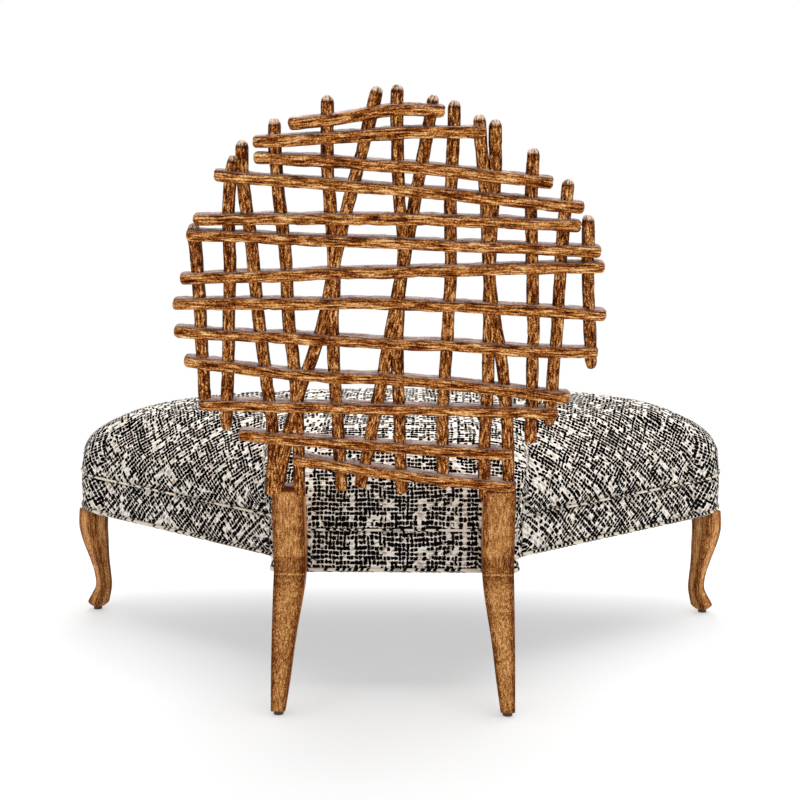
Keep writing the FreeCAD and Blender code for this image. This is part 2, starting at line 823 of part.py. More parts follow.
def foot_centres():
    """Middle of each foot's sole: rear pair, then front pair."""
    sole_share = rear_leg_width_shares[0][1]
    rear_x = rear_leg_outer_x - sole_share * rear_leg_width / 2
    sway = front_leg_shares[-1][2] * front_leg_width
    fronts = []
    for _, side in sides:
        top = front_leg_top(side)
        fronts.append(Vector(top.x, top.y, 0) + front_leg_sway(side) * sway)
    return [Vector(side * rear_x, 0, 0) for _, side in sides] + fronts


def floor_glides():
    """A round glide with its shank under each foot."""
    glides = []
    for centre in foot_centres():
        disc = rod(glide_diameter, glide_height, centre, Vector(0, 0, 1))
        shank = rod(glide_shank_diameter, glide_height + glide_shank_length, centre, Vector(0, 0, 1))
        glides.append(disc.fuse(shank).removeSplitter())
    return glides


def drill(names, tools):
    """Cut fasteners out of the sub-parts that they pass through."""
    for name in names:
        finished[name] = cut_by(finished[name], tools)


def make_fasteners():
    """Every fastener, and its hole in what it joins."""
    rails = ["back_rail", "front_rail", "side_rail_left", "side_rail_right"]
    corners = ["front_corner_block_left", "front_corner_block_right"]
    rear_legs = ["rear_leg_left", "rear_leg_right"]
    front_legs = ["front_leg_left", "front_leg_right"]
    groups = (
        ("frame_dowels", frame_dowels(), rails + corners),
        ("rear_leg_bolts", rear_leg_bolts(), ["back_rail", "side_band"] + rear_legs),
        ("front_leg_bolts", hanger_bolts(), front_legs + corners + ["dust_cover"]),
        ("block_screws", block_screws(), rails + ["rear_corner_blocks"]),
        ("dust_cover_tacks", dust_cover_tacks(), rails + corners + ["dust_cover"]),
        ("floor_glides", floor_glides(), rear_legs + front_legs),
    )
    for name, solids, holed in groups:
        drill(holed, solids)
        save(Part.makeCompound(solids), name)


def make_legs(twigs):
    """Both pairs of legs."""
    for name, side in sides:
        save(rear_leg(side, twigs), "rear_leg_" + name)
        save(front_leg(side), "front_leg_" + name)


def write_all():
    """Move every sub-part so that the origin is under the chair's middle, and write it."""
    whole = FreeCAD.BoundBox()
    for shape in finished.values():
        whole.add(shape.optimalBoundingBox())
    shift = Vector(-whole.Center.x, -whole.Center.y, -whole.ZMin)
    for node, shape in finished.items():
        shape.translate(shift)
        shape.exportStep(os.path.join("parts", node + ".step"))
    print("rear feet at y =", round(shift.y, 3))


finished = {}
cross_twigs, upright_twigs = make_lattice()
for row, twig in enumerate(cross_twigs):
    save(twig, "cross_twig_%02d" % (row + 1))
for row, twig in enumerate(upright_twigs):
    save(twig, "upright_twig_%02d" % (row + 1))
make_legs(cross_twigs + upright_twigs)
make_seat_soft()
make_welts()
make_frame()
make_springs()
make_fasteners()
write_all()
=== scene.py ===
"""Looks of the twig chair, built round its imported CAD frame.

Lengths are in metres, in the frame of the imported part: +Z up, the sitter faces -Y and +X is the
sitter's left.
"""

import logging
import math
from dataclasses import dataclass, field
from enum import Enum

import bmesh
import bpy
import numpy as np
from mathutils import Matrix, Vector
from mathutils.bvhtree import BVHTree
from mathutils.geometry import barycentric_transform


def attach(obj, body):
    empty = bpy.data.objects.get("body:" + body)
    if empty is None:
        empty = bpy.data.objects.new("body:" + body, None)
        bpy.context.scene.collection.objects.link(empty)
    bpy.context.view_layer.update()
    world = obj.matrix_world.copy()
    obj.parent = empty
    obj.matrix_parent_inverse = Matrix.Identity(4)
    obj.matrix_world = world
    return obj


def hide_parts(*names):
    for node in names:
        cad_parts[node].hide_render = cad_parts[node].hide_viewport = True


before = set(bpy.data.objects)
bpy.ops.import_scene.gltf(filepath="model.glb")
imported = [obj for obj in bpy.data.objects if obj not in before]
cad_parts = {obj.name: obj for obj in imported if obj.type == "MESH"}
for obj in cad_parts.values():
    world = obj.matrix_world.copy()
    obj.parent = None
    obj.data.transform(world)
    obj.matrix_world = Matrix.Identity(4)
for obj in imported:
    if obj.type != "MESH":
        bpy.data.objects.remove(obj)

Socket = bpy.types.NodeSocket
Colour = tuple[float, float, float]
Stops = tuple[tuple[float, Colour], ...]
Faces = list[tuple[int, ...]]

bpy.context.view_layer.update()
# Where the middles of both rear feet stand.
REAR_FEET_Y = 0.388914
# Both sides of the sitter, with the sign of X there.
SIDES = (("left", 1), ("right", -1))
# What a length is kept above before it divides.
TINY = 1e-9
# A leg's ring: points on each round corner, steps along each side, and how fast the side's
# nearness to its corners falls.
ARC_POINTS = 5
SIDE_STEPS = 6
EDGE_FALL = 5
# Noise clouds to a metre in rails and blocks, whose grain runs across the chair.
WOOD_GRAIN = (30.0, 300.0, 300.0)

log = logging.getLogger("twig_chair")


def tint(red: float, green: float, blue: float) -> tuple[float, float, float, float]:
    """Turn a colour as it is seen into one that a shader mixes.

    Args:
        red, green, blue: the colour's parts, from 0 to 255.

    Returns:
        The same colour in linear light, with full cover.
    """
    parts = [p / 255 for p in (red, green, blue)]
    linear = [p / 12.92 if p <= 0.04045 else ((p + 0.055) / 1.055) ** 2.4 for p in parts]
    return (linear[0], linear[1], linear[2], 1.0)


class Graph:
    """Adds nodes to a node tree in a few words."""

    def __init__(self, tree: bpy.types.NodeTree) -> None:
        """Start from a tree that may already hold nodes."""
        self.tree = tree

    def feed(self, socket: Socket, value: object) -> None:
        """Link a socket to another, or set its value."""
        if isinstance(value, Socket):
            self.tree.links.new(value, socket)
        else:
            socket.default_value = value

    def add(self, kind: str, feeds: dict | None = None, **settings: object) -> bpy.types.Node:
        """Add a node.

        Args:
            kind: the node's type name.
            feeds: what goes into its inputs, by name or number.
            settings: the node's own choices.

        Returns:
            The new node.
        """
        node = self.tree.nodes.new(kind)
        for name, value in settings.items():
            setattr(node, name, value)
        for name, value in (feeds or {}).items():
            self.feed(node.inputs[name], value)
        return node

    def math(self, operation: str, *values: object, clamp: bool = False) -> Socket:
        """Work out one number from others."""
        feeds = dict(enumerate(values))
        node = self.add("ShaderNodeMath", feeds, operation=operation, use_clamp=clamp)
        return node.outputs[0]

    def weighted(self, base: float, *parts: tuple[object, float]) -> Socket:
        """Add up values, each times its share, on top of a base."""
        total = base
        for value, share in parts:
            total = self.math("MULTIPLY_ADD", value, share, total)
        return total

    def distance(self, value: object, middle: object) -> Socket:
        """How far a number is from another."""
        return self.math("ABSOLUTE", self.math("SUBTRACT", value, middle))

    def from_middle(self, count: object, middle: object = 0.5) -> Socket:
        """How far a place is from the middle of its cell, where a cell is 1 long."""
        return self.distance(self.math("FRACT", count), middle)

    def vector(self, operation: str, *values: object) -> Socket:
        """Work out one vector from others."""
        node = self.add("ShaderNodeVectorMath", dict(enumerate(values)), operation=operation)
        return node.outputs["Vector"]

    def scaled(self, vector: object, scale: object) -> Socket:
        """Make a vector longer or shorter."""
        feeds = {0: vector, "Scale": scale}
        return self.add("ShaderNodeVectorMath", feeds, operation="SCALE").outputs["Vector"]

    def join(self, x: object, y: object, z: object = 0.0) -> Socket:
        """Make a vector of three numbers."""
        return self.add("ShaderNodeCombineXYZ", {0: x, 1: y, 2: z}).outputs[0]

    def split(self, vector: Socket) -> tuple[Socket, ...]:
        """Take a vector apart."""
        return tuple(self.add("ShaderNodeSeparateXYZ", {0: vector}).outputs)

    def mix(self, factor: object, first: object, second: object) -> Socket:
        """Blend two colours."""
        feeds = {0: factor, 6: first, 7: second}
        return self.add("ShaderNodeMix", feeds, data_type="RGBA").outputs[2]

    def choose(self, factor: object, first: object, second: object) -> Socket:
        """Blend two vectors."""
        feeds = {0: factor, 4: first, 5: second}
        return self.add("ShaderNodeMix", feeds, data_type="VECTOR").outputs[1]

    def step(self, value: object, low: float, high: float) -> Socket:
        """A soft step that is 0 at low and 1 at high, whichever is larger."""
        feeds = {"Value": value, "From Min": low, "From Max": high}
        node = self.add("ShaderNodeMapRange", feeds, interpolation_type="SMOOTHSTEP")
        return node.outputs["Result"]

    def ramp(self, value: object, stops: Stops) -> Socket:
        """Colour a number by a row of places and seen colours."""
        node = self.add("ShaderNodeValToRGB", {0: value})
        elements = node.color_ramp.elements
        while len(elements) < len(stops):
            elements.new(0.5)
        for element, (place, colour) in zip(elements, stops):
            element.position = place
            element.color = tint(*colour)
        return node.outputs["Color"]

    def stretched(self, vector: object, scale: tuple[float, float, float]) -> Socket:
        """Scale a place by its own amount each way."""
        return self.vector("MULTIPLY", vector, scale)

    def noise(
        self,
        place: object,
        scale: tuple[float, float, float] | None,
        detail: float,
        roughness: float,
        colour: bool = False,
    ) -> Socket:
        """Cloudy noise.

        Args:
            place: where it is read.
            scale: clouds to a metre each way, or None for a place that is scaled already.
            detail, roughness: how many finer layers it has, and how strong they are.
            colour: whether three noises come back as a colour, in place of one.

        Returns:
            The noise, from 0 to 1.
        """
        place = self.stretched(place, scale) if scale else place
        feeds = {"Vector": place, "Scale": 1.0, "Detail": detail, "Roughness": roughness}
        return self.add("ShaderNodeTexNoise", feeds).outputs["Color" if colour else "Fac"]

    def shift(self, place: object, per_metre: float, detail: float, roughness: float) -> Socket:
        """Three noises round 0 that push a place about."""
        clouds = self.noise(place, (per_metre,) * 3, detail, roughness, True)
        return self.vector("SUBTRACT", clouds, (0.5, 0.5, 0.5))

    def chance(self, x: object, y: object, seed: float) -> Socket:
        """A number from 0 to 1 that is fixed for each pair of numbers."""
        feeds = {"Vector": self.join(x, y, seed)}
        return self.add("ShaderNodeTexWhiteNoise", feeds).outputs["Value"]

    def chances(self, x: object, y: object, seed: float) -> tuple[Socket, ...]:
        """Three numbers from 0 to 1 that are fixed for each pair of numbers."""
        node = self.add("ShaderNodeTexWhiteNoise", {"Vector": self.join(x, y, seed)})
        return self.split(node.outputs["Color"])


class Dressing:
    """A material under construction, with its shader at hand."""

    def __init__(self, name: str, **values: object) -> None:
        """Make the material and set the shader's even values.

        Args:
            name: the material's name.
            values: values of shader sockets, with _ in place of spaces.
        """
        self.material = bpy.data.materials.new(name)
        self.material.use_nodes = True
        self.graph = Graph(self.material.node_tree)
        self.shader = self.material.node_tree.nodes["Principled BSDF"]
        for socket, value in values.items():
            self.shader.inputs[socket.replace("_", " ")].default_value = value

    def attribute(self, name: str, output: str = "Vector") -> Socket:
        """Read one of the mesh's own attributes."""
        return self.graph.add("ShaderNodeAttribute", attribute_name=name).outputs[output]

    def place(self) -> Socket:
        """The place on the object."""
        return self.graph.add("ShaderNodeTexCoord").outputs["Object"]

    def colour(self, value: object) -> None:
        """Feed the shader's colour."""
        self.graph.feed(self.shader.inputs["Base Color"], value)

    def roughness(self, base: float, grain: object, share: float) -> None:
        """Feed the shader's roughness from a base and a share of a grain."""
        self.graph.feed(self.shader.inputs["Roughness"], self.graph.weighted(base, (grain, share)))

    def bump(self, height: object, distance: float, strength: float) -> None:
        """Raise the surface by a height from 0 to 1."""
        feeds = {"Height": height, "Distance": distance, "Strength": strength}
        node = self.graph.add("ShaderNodeBump", feeds)
        self.graph.feed(self.shader.inputs["Normal"], node.outputs["Normal"])


@dataclass(frozen=True)
class TwigFinish:
    """Rubbed gilt brown over dark grooves, on a carved twig.

    The tone is a base moved by each noise's share. Ramps turn it into the colour of the rubbed
    sides, of the topside, whose greyed colour is a painted sheen of the light from above, and of a
    sawn end, pale as bare wood and with a painted highlight; the rim is darker.
    """

    name: str
    streak_length: float
    streak_share: float
    speck_share: float
    base_tone: float
    streaks_across: float
    patch_share: float = 0.3
    relief_share: float = 0.6
    rim_darkness: float = 0.34
    # Where faces that look up begin to take the painted sheen, and where they take it fully.
    topside: tuple[float, float] = (0.45, 0.80)
    speck_scale: tuple[float, float, float] = (300, 420, 420)
    patch_scale: tuple[float, float, float] = (22, 40, 40)
    gloss: float = 0.05
    roughness: tuple[float, float] = (0.3, 0.3)
    bump: tuple[float, float] = (0.0016, 0.9)
    rubbed: Stops = (
        (0.06, (48, 10, 0)),
        (0.26, (104, 46, 8)),
        (0.44, (154, 86, 30)),
        (0.60, (198, 124, 58)),
        (0.76, (236, 172, 100)),
        (0.94, (255, 220, 160)),
    )
    # Painted sheen: the topside's colour, greyed to stand in for the grazing reflection of the
    # light from above.
    painted_sheen: Stops = ((0.16, (84, 50, 40)), (0.44, (150, 120, 108)), (0.76, (186, 162, 152)))
    # A sawn end: pale as bare wood, and paler still as a painted highlight where the tip catches
    # the light from above.
    sawn_end_and_highlight: Stops = ((0.06, (84, 50, 34)), (0.26, (188, 152, 128)), (0.52, (240, 216, 192)))

    def material(self) -> bpy.types.Material:
        """Build the material, which reads the twig's own grain and relief."""
        dress = Dressing(self.name, Specular_IOR_Level=self.gloss)
        g = dress.graph
        grain = dress.attribute("grain")
        streak_scale = (1 / self.streak_length, self.streaks_across, self.streaks_across)
        streaks = g.noise(grain, streak_scale, 4, 0.65)
        specks = g.noise(grain, self.speck_scale, 3, 0.75)
        patches = g.noise(grain, self.patch_scale, 2, 0.5)
        tone = g.weighted(
            self.base_tone - (self.streak_share + self.speck_share + self.patch_share) / 2,
            (streaks, self.streak_share),
            (specks, self.speck_share),
            (patches, self.patch_share),
            (dress.attribute("relief", "Fac"), self.relief_share),
        )
        rim = g.math("MULTIPLY", dress.attribute("rim", "Fac"), self.rim_darkness)
        rubbed = g.ramp(g.math("SUBTRACT", tone, rim), self.rubbed)
        # Faces that look up take the painted sheen in place of the rubbed colour.
        upward = g.step(dress.attribute("upward", "Fac"), *self.topside)
        outside = g.mix(upward, rubbed, g.ramp(tone, self.painted_sheen))
        # Cap ends take the sawn-end colour, which carries a painted highlight.
        dress.colour(g.mix(dress.attribute("cap", "Fac"), outside, g.ramp(tone, self.sawn_end_and_highlight)))
        dress.roughness(self.roughness[0], specks, self.roughness[1])
        dress.bump(g.weighted(0.0, (streaks, 0.7), (specks, 0.3)), *self.bump)
        return dress.material


@dataclass(frozen=True)
class LegFinish:
    """Smoother rubbed gilt brown on the legs, darker along their edges, with painted shade in two
    strips by the hem, where the rear legs bend.

    Each band of painted shade is given by the heights at which it starts, is full, begins to fade
    and ends. A painted highlight line, for the bend's ridge that catches the light from above,
    runs between them.
    """

    name: str
    base_tone: float = 0.52
    streak_share: float = 2.0
    speck_share: float = 2.2
    cloud_share: float = 0.5
    edge_darkness: float = 0.34
    foot_darkness: float = 0.06
    bend_shade: float = 0.18
    ridge_highlight: float = 0.26
    foot_fade: tuple[float, float] = (0.23, 0.10)
    shade_bands: tuple = ((0.2565, 0.2580, 0.2895, 0.2925), (0.222, 0.254, 0.2545, 0.2565))
    highlight_height: float = 0.2550
    highlight_fade: tuple[float, float] = (0.0016, 0.0006)
    streak_scale: tuple[float, float, float] = (330, 330, 26)
    speck_scale: tuple[float, float, float] = (640, 640, 330)
    cloud_scale: tuple[float, float, float] = (26, 26, 14)
    gloss: float = 0.08
    roughness: tuple[float, float] = (0.36, 0.25)
    bump: tuple[float, float] = (0.0008, 0.6)
    rubbed: Stops = (
        (0.06, (78, 34, 6)),
        (0.28, (134, 78, 30)),
        (0.48, (184, 122, 64)),
        (0.66, (214, 152, 88)),
        (0.90, (244, 198, 134)),
    )

    def material(self) -> bpy.types.Material:
        """Build the material from the place on the leg and its stored edge."""
        dress = Dressing(self.name, Specular_IOR_Level=self.gloss)
        g = dress.graph
        place = dress.place()
        height = g.split(place)[2]
        streaks = g.noise(place, self.streak_scale, 4, 0.75)
        specks = g.noise(place, self.speck_scale, 3, 0.8)
        clouds = g.noise(place, self.cloud_scale, 3, 0.55)
        # Strips of painted shade at the rear legs' bend, by the hem, and a painted highlight line
        # on the bend's ridge.
        shade_bands = [
            g.math("MULTIPLY", g.step(height, start, full), g.step(height, end, fading))
            for start, full, fading, end in self.shade_bands
        ]
        line = g.step(g.distance(height, self.highlight_height), *self.highlight_fade)
        tone = g.weighted(
            self.base_tone - (self.streak_share + self.speck_share + self.cloud_share) / 2,
            (streaks, self.streak_share),
            (specks, self.speck_share),
            (clouds, self.cloud_share),
            (dress.attribute("edge", "Fac"), -self.edge_darkness),
            (g.step(height, *self.foot_fade), -self.foot_darkness),
            *((band, -self.bend_shade) for band in shade_bands),
            (line, self.ridge_highlight),
        )
        dress.colour(g.ramp(tone, self.rubbed))
        dress.roughness(self.roughness[0], specks, self.roughness[1])
        dress.bump(g.weighted(0.0, (streaks, 1.0), (specks, 0.5)), *self.bump)
        return dress.material


@dataclass(frozen=True)
class WovenFinish:
    """Coarse weave of cream and taupe threads with short black dashes in rows.

    Lengths of dashes and bars are shares of their cell. A pair with side, end or edge in its
    name is a soft step, from none to full. Wander and fray push the threads about: clouds to a
    metre, their roughness and their reach.
    """

    name: str
    dash_pitch: float = 0.0078
    row_pitch: float = 0.0104
    most_black: float = 0.97
    sparse_black: float = 0.42
    odd_share: float = 0.82
    dash_half: float = 0.375
    dash_growth: tuple[float, float] = (0.26, 0.14)
    dash_squareness: float = 3.0
    dash_edge: tuple[float, float] = (1.08, 0.92)
    shuffle: float = 0.16
    sparse_rows: tuple[float, float] = (0.10, 0.16)
    sparse_columns: tuple[float, float] = (0.08, 0.14)
    crowding: tuple[float, float] = (0.34, 1.4)
    bar_rows: float = 2.2
    bar_shift: float = 3.0
    bar_share: float = 0.16
    bar_side: tuple[float, float] = (0.33, 0.27)
    bar_end: tuple[float, float] = (0.49, 0.42)
    corner_start: float = 0.668
    corner_waver: float = 0.024
    wander: tuple = (9, 0.5, (0.020, 0.020))
    fray: tuple = (190, 0.6, (0.0078, 0.0064))
    patch_scale: tuple[float, float, float] = (42, 42, 42)
    thread_scale: tuple[float, float, float] = (900, 260, 400)
    slub_scale: tuple[float, float, float] = (70, 150, 100)
    waver_scale: tuple[float, float, float] = (60, 60, 60)
    slub_edge: tuple[float, float] = (0.35, 0.59)
    between_edge: tuple[float, float] = (0.30, 0.42)
    between_share: float = 0.40
    rough: float = 0.95
    gloss: float = 0.03
    light: tuple[Colour, Colour] = ((166, 144, 124), (255, 251, 243))
    thread: Colour = (156, 134, 115)
    thread_share: float = 0.25
    dark: tuple[Colour, Colour] = ((1, 0, 0), (9, 4, 3))
    bump: tuple[float, float] = (0.0014, 0.7)

    def material(self) -> bpy.types.Material:
        """Build the material on the mesh's own weave coordinates."""
        dress = Dressing(self.name, Roughness=self.rough, Specular_IOR_Level=self.gloss)
        g = dress.graph
        weave = self.cloth(dress)
        moved = weave
        for per_metre, roughness, reach in (self.wander, self.fray):
            push = g.stretched(g.shift(weave, per_metre, 2, roughness), (*reach, 0))
            moved = g.vector("ADD", moved, push)
        along, over, _ = g.split(moved)
        across = g.math("DIVIDE", along, self.dash_pitch)
        rows = g.math("DIVIDE", over, self.row_pitch)
        patch = g.noise(weave, self.patch_scale, 2, 0.6)
        crowding = g.weighted(self.crowding[0], (patch, self.crowding[1]))
        dashes = self.dashes(g, across, rows, crowding)
        black = g.math("MAXIMUM", dashes, self.bars(g, across, rows))
        threads = g.noise(weave, self.thread_scale, 2, 0.6)
        slubs = g.step(g.noise(weave, self.slub_scale, 3, 0.6), *self.slub_edge)
        between = g.step(g.from_middle(rows), *self.between_edge)
        between = g.math("MULTIPLY", between, self.between_share)
        pale = g.math("ADD", between, slubs, clamp=True)
        light = g.mix(pale, *(tint(*shade) for shade in self.light))
        light = g.mix(g.math("MULTIPLY", threads, self.thread_share), light, tint(*self.thread))
        dark = g.mix(threads, *(tint(*shade) for shade in self.dark))
        dress.colour(g.mix(black, light, dark))
        dress.bump(g.weighted(0.0, (black, 0.5), (threads, 0.5)), *self.bump)
        return dress.material

    def cloth(self, dress: Dressing) -> Socket:
        """The cloth's coordinates: wrapped at both far corners and the neck's sides, else laid."""
        g = dress.graph
        place = dress.place()
        wrapped = dress.attribute("wrapped")
        waver = g.noise(place, self.waver_scale, 2, 0.5)
        border = g.weighted(self.corner_start - self.corner_waver / 2, (waver, self.corner_waver))
        corner = g.math("GREATER_THAN", g.math("ABSOLUTE", g.split(place)[0]), border)
        neck = g.math("GREATER_THAN", g.split(wrapped)[2], 0.5)
        return g.choose(g.math("MAXIMUM", corner, neck), dress.attribute("weave"), wrapped)

    def dashes(self, g: Graph, across: object, rows: object, crowding: object) -> Socket:
        """Short dashes that lie along the rows, thin on the ground in some rows and columns.

        Args:
            g: the material's graph.
            across: place along a row, counted in dashes.
            rows: place over the rows, counted in rows.
            crowding: factor on how many dashes there are.

        Returns:
            1 on a dash and 0 between.
        """
        row, column = g.math("FLOOR", rows), g.math("FLOOR", across)
        chance, length, lift = g.chances(column, row, 0.0)
        by_row = g.step(g.chance(row, 3.0, 1.0), *self.sparse_rows)
        by_column = g.step(g.chance(column, 7.0, 2.0), *self.sparse_columns)
        gain = self.most_black - self.sparse_black
        share = g.weighted(self.sparse_black, (g.math("MULTIPLY", by_row, by_column), gain))
        even = g.math("GREATER_THAN", g.math("FRACT", g.math("MULTIPLY", column, 0.5)), 0.25)
        share = g.math("MULTIPLY", share, g.weighted(self.odd_share, (even, 1 - self.odd_share)))
        present = g.math("LESS_THAN", chance, g.math("MULTIPLY", share, crowding))
        total = 0.0
        for count, seed, size, growth in (
            (across, 8.0, length, self.dash_growth[0]),
            (rows, 4.0, lift, self.dash_growth[1]),
        ):
            middle = g.weighted(0.5 - self.shuffle / 2, (g.chance(column, row, seed), self.shuffle))
            half = g.weighted(self.dash_half, (size, growth))
            reach = g.math("DIVIDE", g.from_middle(count, middle), half)
            total = g.math("ADD", total, g.math("POWER", reach, self.dash_squareness))
        return g.math("MULTIPLY", g.step(total, *self.dash_edge), present)

    def bars(self, g: Graph, across: object, rows: object) -> Socket:
        """Longer bars that stand across the rows.

        Args:
            g: the material's graph.
            across: place along a row, counted in dashes.
            rows: place over the rows, counted in rows.

        Returns:
            1 on a bar and 0 between.
        """
        column = g.math("FLOOR", across)
        start = g.math("DIVIDE", rows, self.bar_rows)
        tall = g.math("MULTIPLY_ADD", g.chance(column, 5.0, 3.0), self.bar_shift, start)
        chance = g.chance(column, g.math("FLOOR", tall), 6.0)
        side = g.step(g.from_middle(across), *self.bar_side)
        end = g.step(g.from_middle(tall), *self.bar_end)
        present = g.math("LESS_THAN", chance, self.bar_share)
        return g.math("MULTIPLY", g.math("MULTIPLY", side, end), present)


@dataclass(frozen=True)
class WeltFinish:
    """The same cloth on the bias round a cord: cream with slanted black ticks."""

    name: str
    tick_pitch: float = 0.0120
    tick_share: float = 0.74
    # A factor on the light colours; above 1 it is painted light that lifts a cord out of the shade
    # around it.
    shade: float = 1.0
    slant: float = 0.5
    fray: float = 0.004
    fray_scale: tuple[float, float, float] = (260, 260, 260)
    thread_scale: tuple[float, float, float] = (900, 900, 400)
    tick_half: tuple[float, float] = (0.24, 0.2)
    tick_edge: tuple[float, float] = (-0.05, 0.05)
    rough: float = 0.95
    gloss: float = 0.06
    light: tuple[Colour, Colour] = ((206, 190, 168), (252, 244, 232))
    dark: Colour = (6, 3, 3)
    bump: tuple[float, float] = (0.0008, 0.6)

    def material(self) -> bpy.types.Material:
        """Build the material on the cord's own coordinates: along it, then round it."""
        dress = Dressing(self.name, Roughness=self.rough, Specular_IOR_Level=self.gloss)
        g = dress.graph
        weave = dress.attribute("weave")
        along, turned, _ = g.split(weave)
        clouds = g.noise(weave, self.fray_scale, 2, 0.6)
        frayed = g.math("ADD", along, g.weighted(-self.fray / 2, (clouds, self.fray)))
        slanted = g.math("MULTIPLY_ADD", turned, self.slant, frayed)
        count = g.math("DIVIDE", slanted, self.tick_pitch)
        chance, length, _ = g.chances(g.math("FLOOR", count), 2.0, 5.0)
        half = g.weighted(self.tick_half[0], (length, self.tick_half[1]))
        tick = g.step(g.math("SUBTRACT", half, g.from_middle(count)), *self.tick_edge)
        tick = g.math("MULTIPLY", tick, g.math("LESS_THAN", chance, self.tick_share))
        threads = g.noise(weave, self.thread_scale, 2, 0.6)
        shades = [tint(*(self.shade * part for part in tone)) for tone in self.light]
        dress.colour(g.mix(tick, g.mix(threads, *shades), tint(*self.dark)))
        dress.bump(threads, *self.bump)
        return dress.material


@dataclass(frozen=True)
class PlainFinish:
    """A plain finish with a little mottling, for what is hidden or small."""

    name: str
    light: Colour
    dark: Colour
    rough: float
    metal: float = 0.0
    grain: tuple[float, float, float] = (200.0, 200.0, 200.0)
    gloss: float = 0.5
    rough_range: float = 0.2
    bump: tuple[float, float] = (0.0004, 0.5)

    def material(self) -> bpy.types.Material:
        """Build the material from noise at the place on the object."""
        dress = Dressing(self.name, Metallic=self.metal, Specular_IOR_Level=self.gloss)
        g = dress.graph
        mottle = g.noise(dress.place(), self.grain, 4, 0.6)
        dress.colour(g.mix(mottle, tint(*self.dark), tint(*self.light)))
        dress.roughness(self.rough - self.rough_range / 2, mottle, self.rough_range)
        dress.bump(mottle, *self.bump)
        return dress.material


class Look(Enum):
    """The finishes of the chair's sub-parts."""

    CROSS_TWIG = TwigFinish(
        "cross_twig_finish",
        streak_length=0.034,
        streak_share=2.6,
        speck_share=1.8,
        base_tone=0.215,
        streaks_across=330,
    )
    UPRIGHT_TWIG = TwigFinish(
        "upright_twig_finish",
        streak_length=0.016,
        streak_share=2.6,
        speck_share=2.4,
        base_tone=0.12,
        streaks_across=250,
    )
    LEG = LegFinish("leg_finish")
    WEAVE = WovenFinish("woven_cover")
    WELT = WeltFinish("woven_welt")
    # The seam's cord is lightened a little, as painted light against the shade under the crown's
    # edge.
    SEAM_WELT = WeltFinish("woven_seam_welt", tick_pitch=0.0140, tick_share=0.60, shade=1.01)
    FRAME_WOOD = PlainFinish("frame_wood", (206, 172, 128), (160, 122, 80), 0.7, grain=WOOD_GRAIN)
    DOWEL_WOOD = PlainFinish("dowel_wood", (222, 196, 152), (196, 166, 120), 0.6)
    FELT = PlainFinish("felt", (128, 124, 118), (88, 86, 82), 0.95, grain=(700.0,) * 3)
    DUST_CLOTH = PlainFinish("dust_cloth", (44, 43, 44), (24, 23, 24), 0.9, grain=(1200.0,) * 3)
    SPRING_STEEL = PlainFinish("spring_steel", (120, 120, 126), (82, 82, 88), 0.45, metal=1.0)
    FASTENER_STEEL = PlainFinish("fastener_steel", (182, 182, 186), (140, 140, 146), 0.35, 1.0)
    GLIDE = PlainFinish("glide_plastic", (8, 4, 3), (2, 1, 1), 0.8, gloss=0.01)

    def dress(self) -> bpy.types.Material:
        """The finish's material, built when it is first asked for."""
        return bpy.data.materials.get(self.value.name) or self.value.material()


def put(name: str, data: bpy.types.ID) -> bpy.types.Object:
    """Make an object of a mesh, curve, camera or lamp, in the scene."""
    obj = bpy.data.objects.new(name, data)
    bpy.context.scene.collection.objects.link(obj)
    return obj


def shade_smooth(mesh: bpy.types.Mesh) -> None:
    """Shade all of a mesh's faces smooth."""
    mesh.polygons.foreach_set("use_smooth", [True] * len(mesh.polygons))


def new_mesh(name: str, points: np.ndarray, faces: Faces) -> bpy.types.Object:
    """Make a smooth object from points and faces, with its normals turned outward.

    Args:
        name: the object's name.
        points: places, one row each.
        faces: corner numbers of each face.

    Returns:
        The new object, in the scene.
    """
    mesh = bpy.data.meshes.new(name)
    mesh.from_pydata([tuple(p) for p in points], [], faces)
    shell = bmesh.new()
    shell.from_mesh(mesh)
    bmesh.ops.recalc_face_normals(shell, faces=shell.faces)
    shell.to_mesh(mesh)
    shell.free()
    shade_smooth(mesh)
    return put(name, mesh)


def settle(obj: bpy.types.Object) -> bpy.types.Object:
    """Turn an object with live modifiers into a plain mesh in the same place."""
    graph = bpy.context.evaluated_depsgraph_get()
    mesh = bpy.data.meshes.new_from_object(obj.evaluated_get(graph))
    name = obj.name
    plain = put(name + "_plain", mesh)
    bpy.data.objects.remove(obj)
    plain.name = name
    return plain


def install(obj: bpy.types.Object, look: Look, slot: str, *nodes: str) -> None:
    """Put a finished piece on the chair's body and name the nodes it stands for.

    Args:
        obj: the piece.
        look: its finish, if it has no material of its own yet.
        slot: the name of the piece's material slot, which is not used.
        nodes: the nodes.
    """
    if not obj.data.materials:
        obj.data.materials.append(look.dress())
    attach(obj, "root")
    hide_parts(*nodes)
    log.info("%s: %d faces, for %s", obj.name, len(obj.data.polygons), ", ".join(nodes))


def store(obj: bpy.types.Object, name: str, values: np.ndarray) -> None:
    """Store a number or a vector for each of a mesh's points."""
    vector = values.ndim == 2
    layer = obj.data.attributes.new(name, "FLOAT_VECTOR" if vector else "FLOAT", "POINT")
    layer.data.foreach_set("vector" if vector else "value", values.astype(np.float32).ravel())


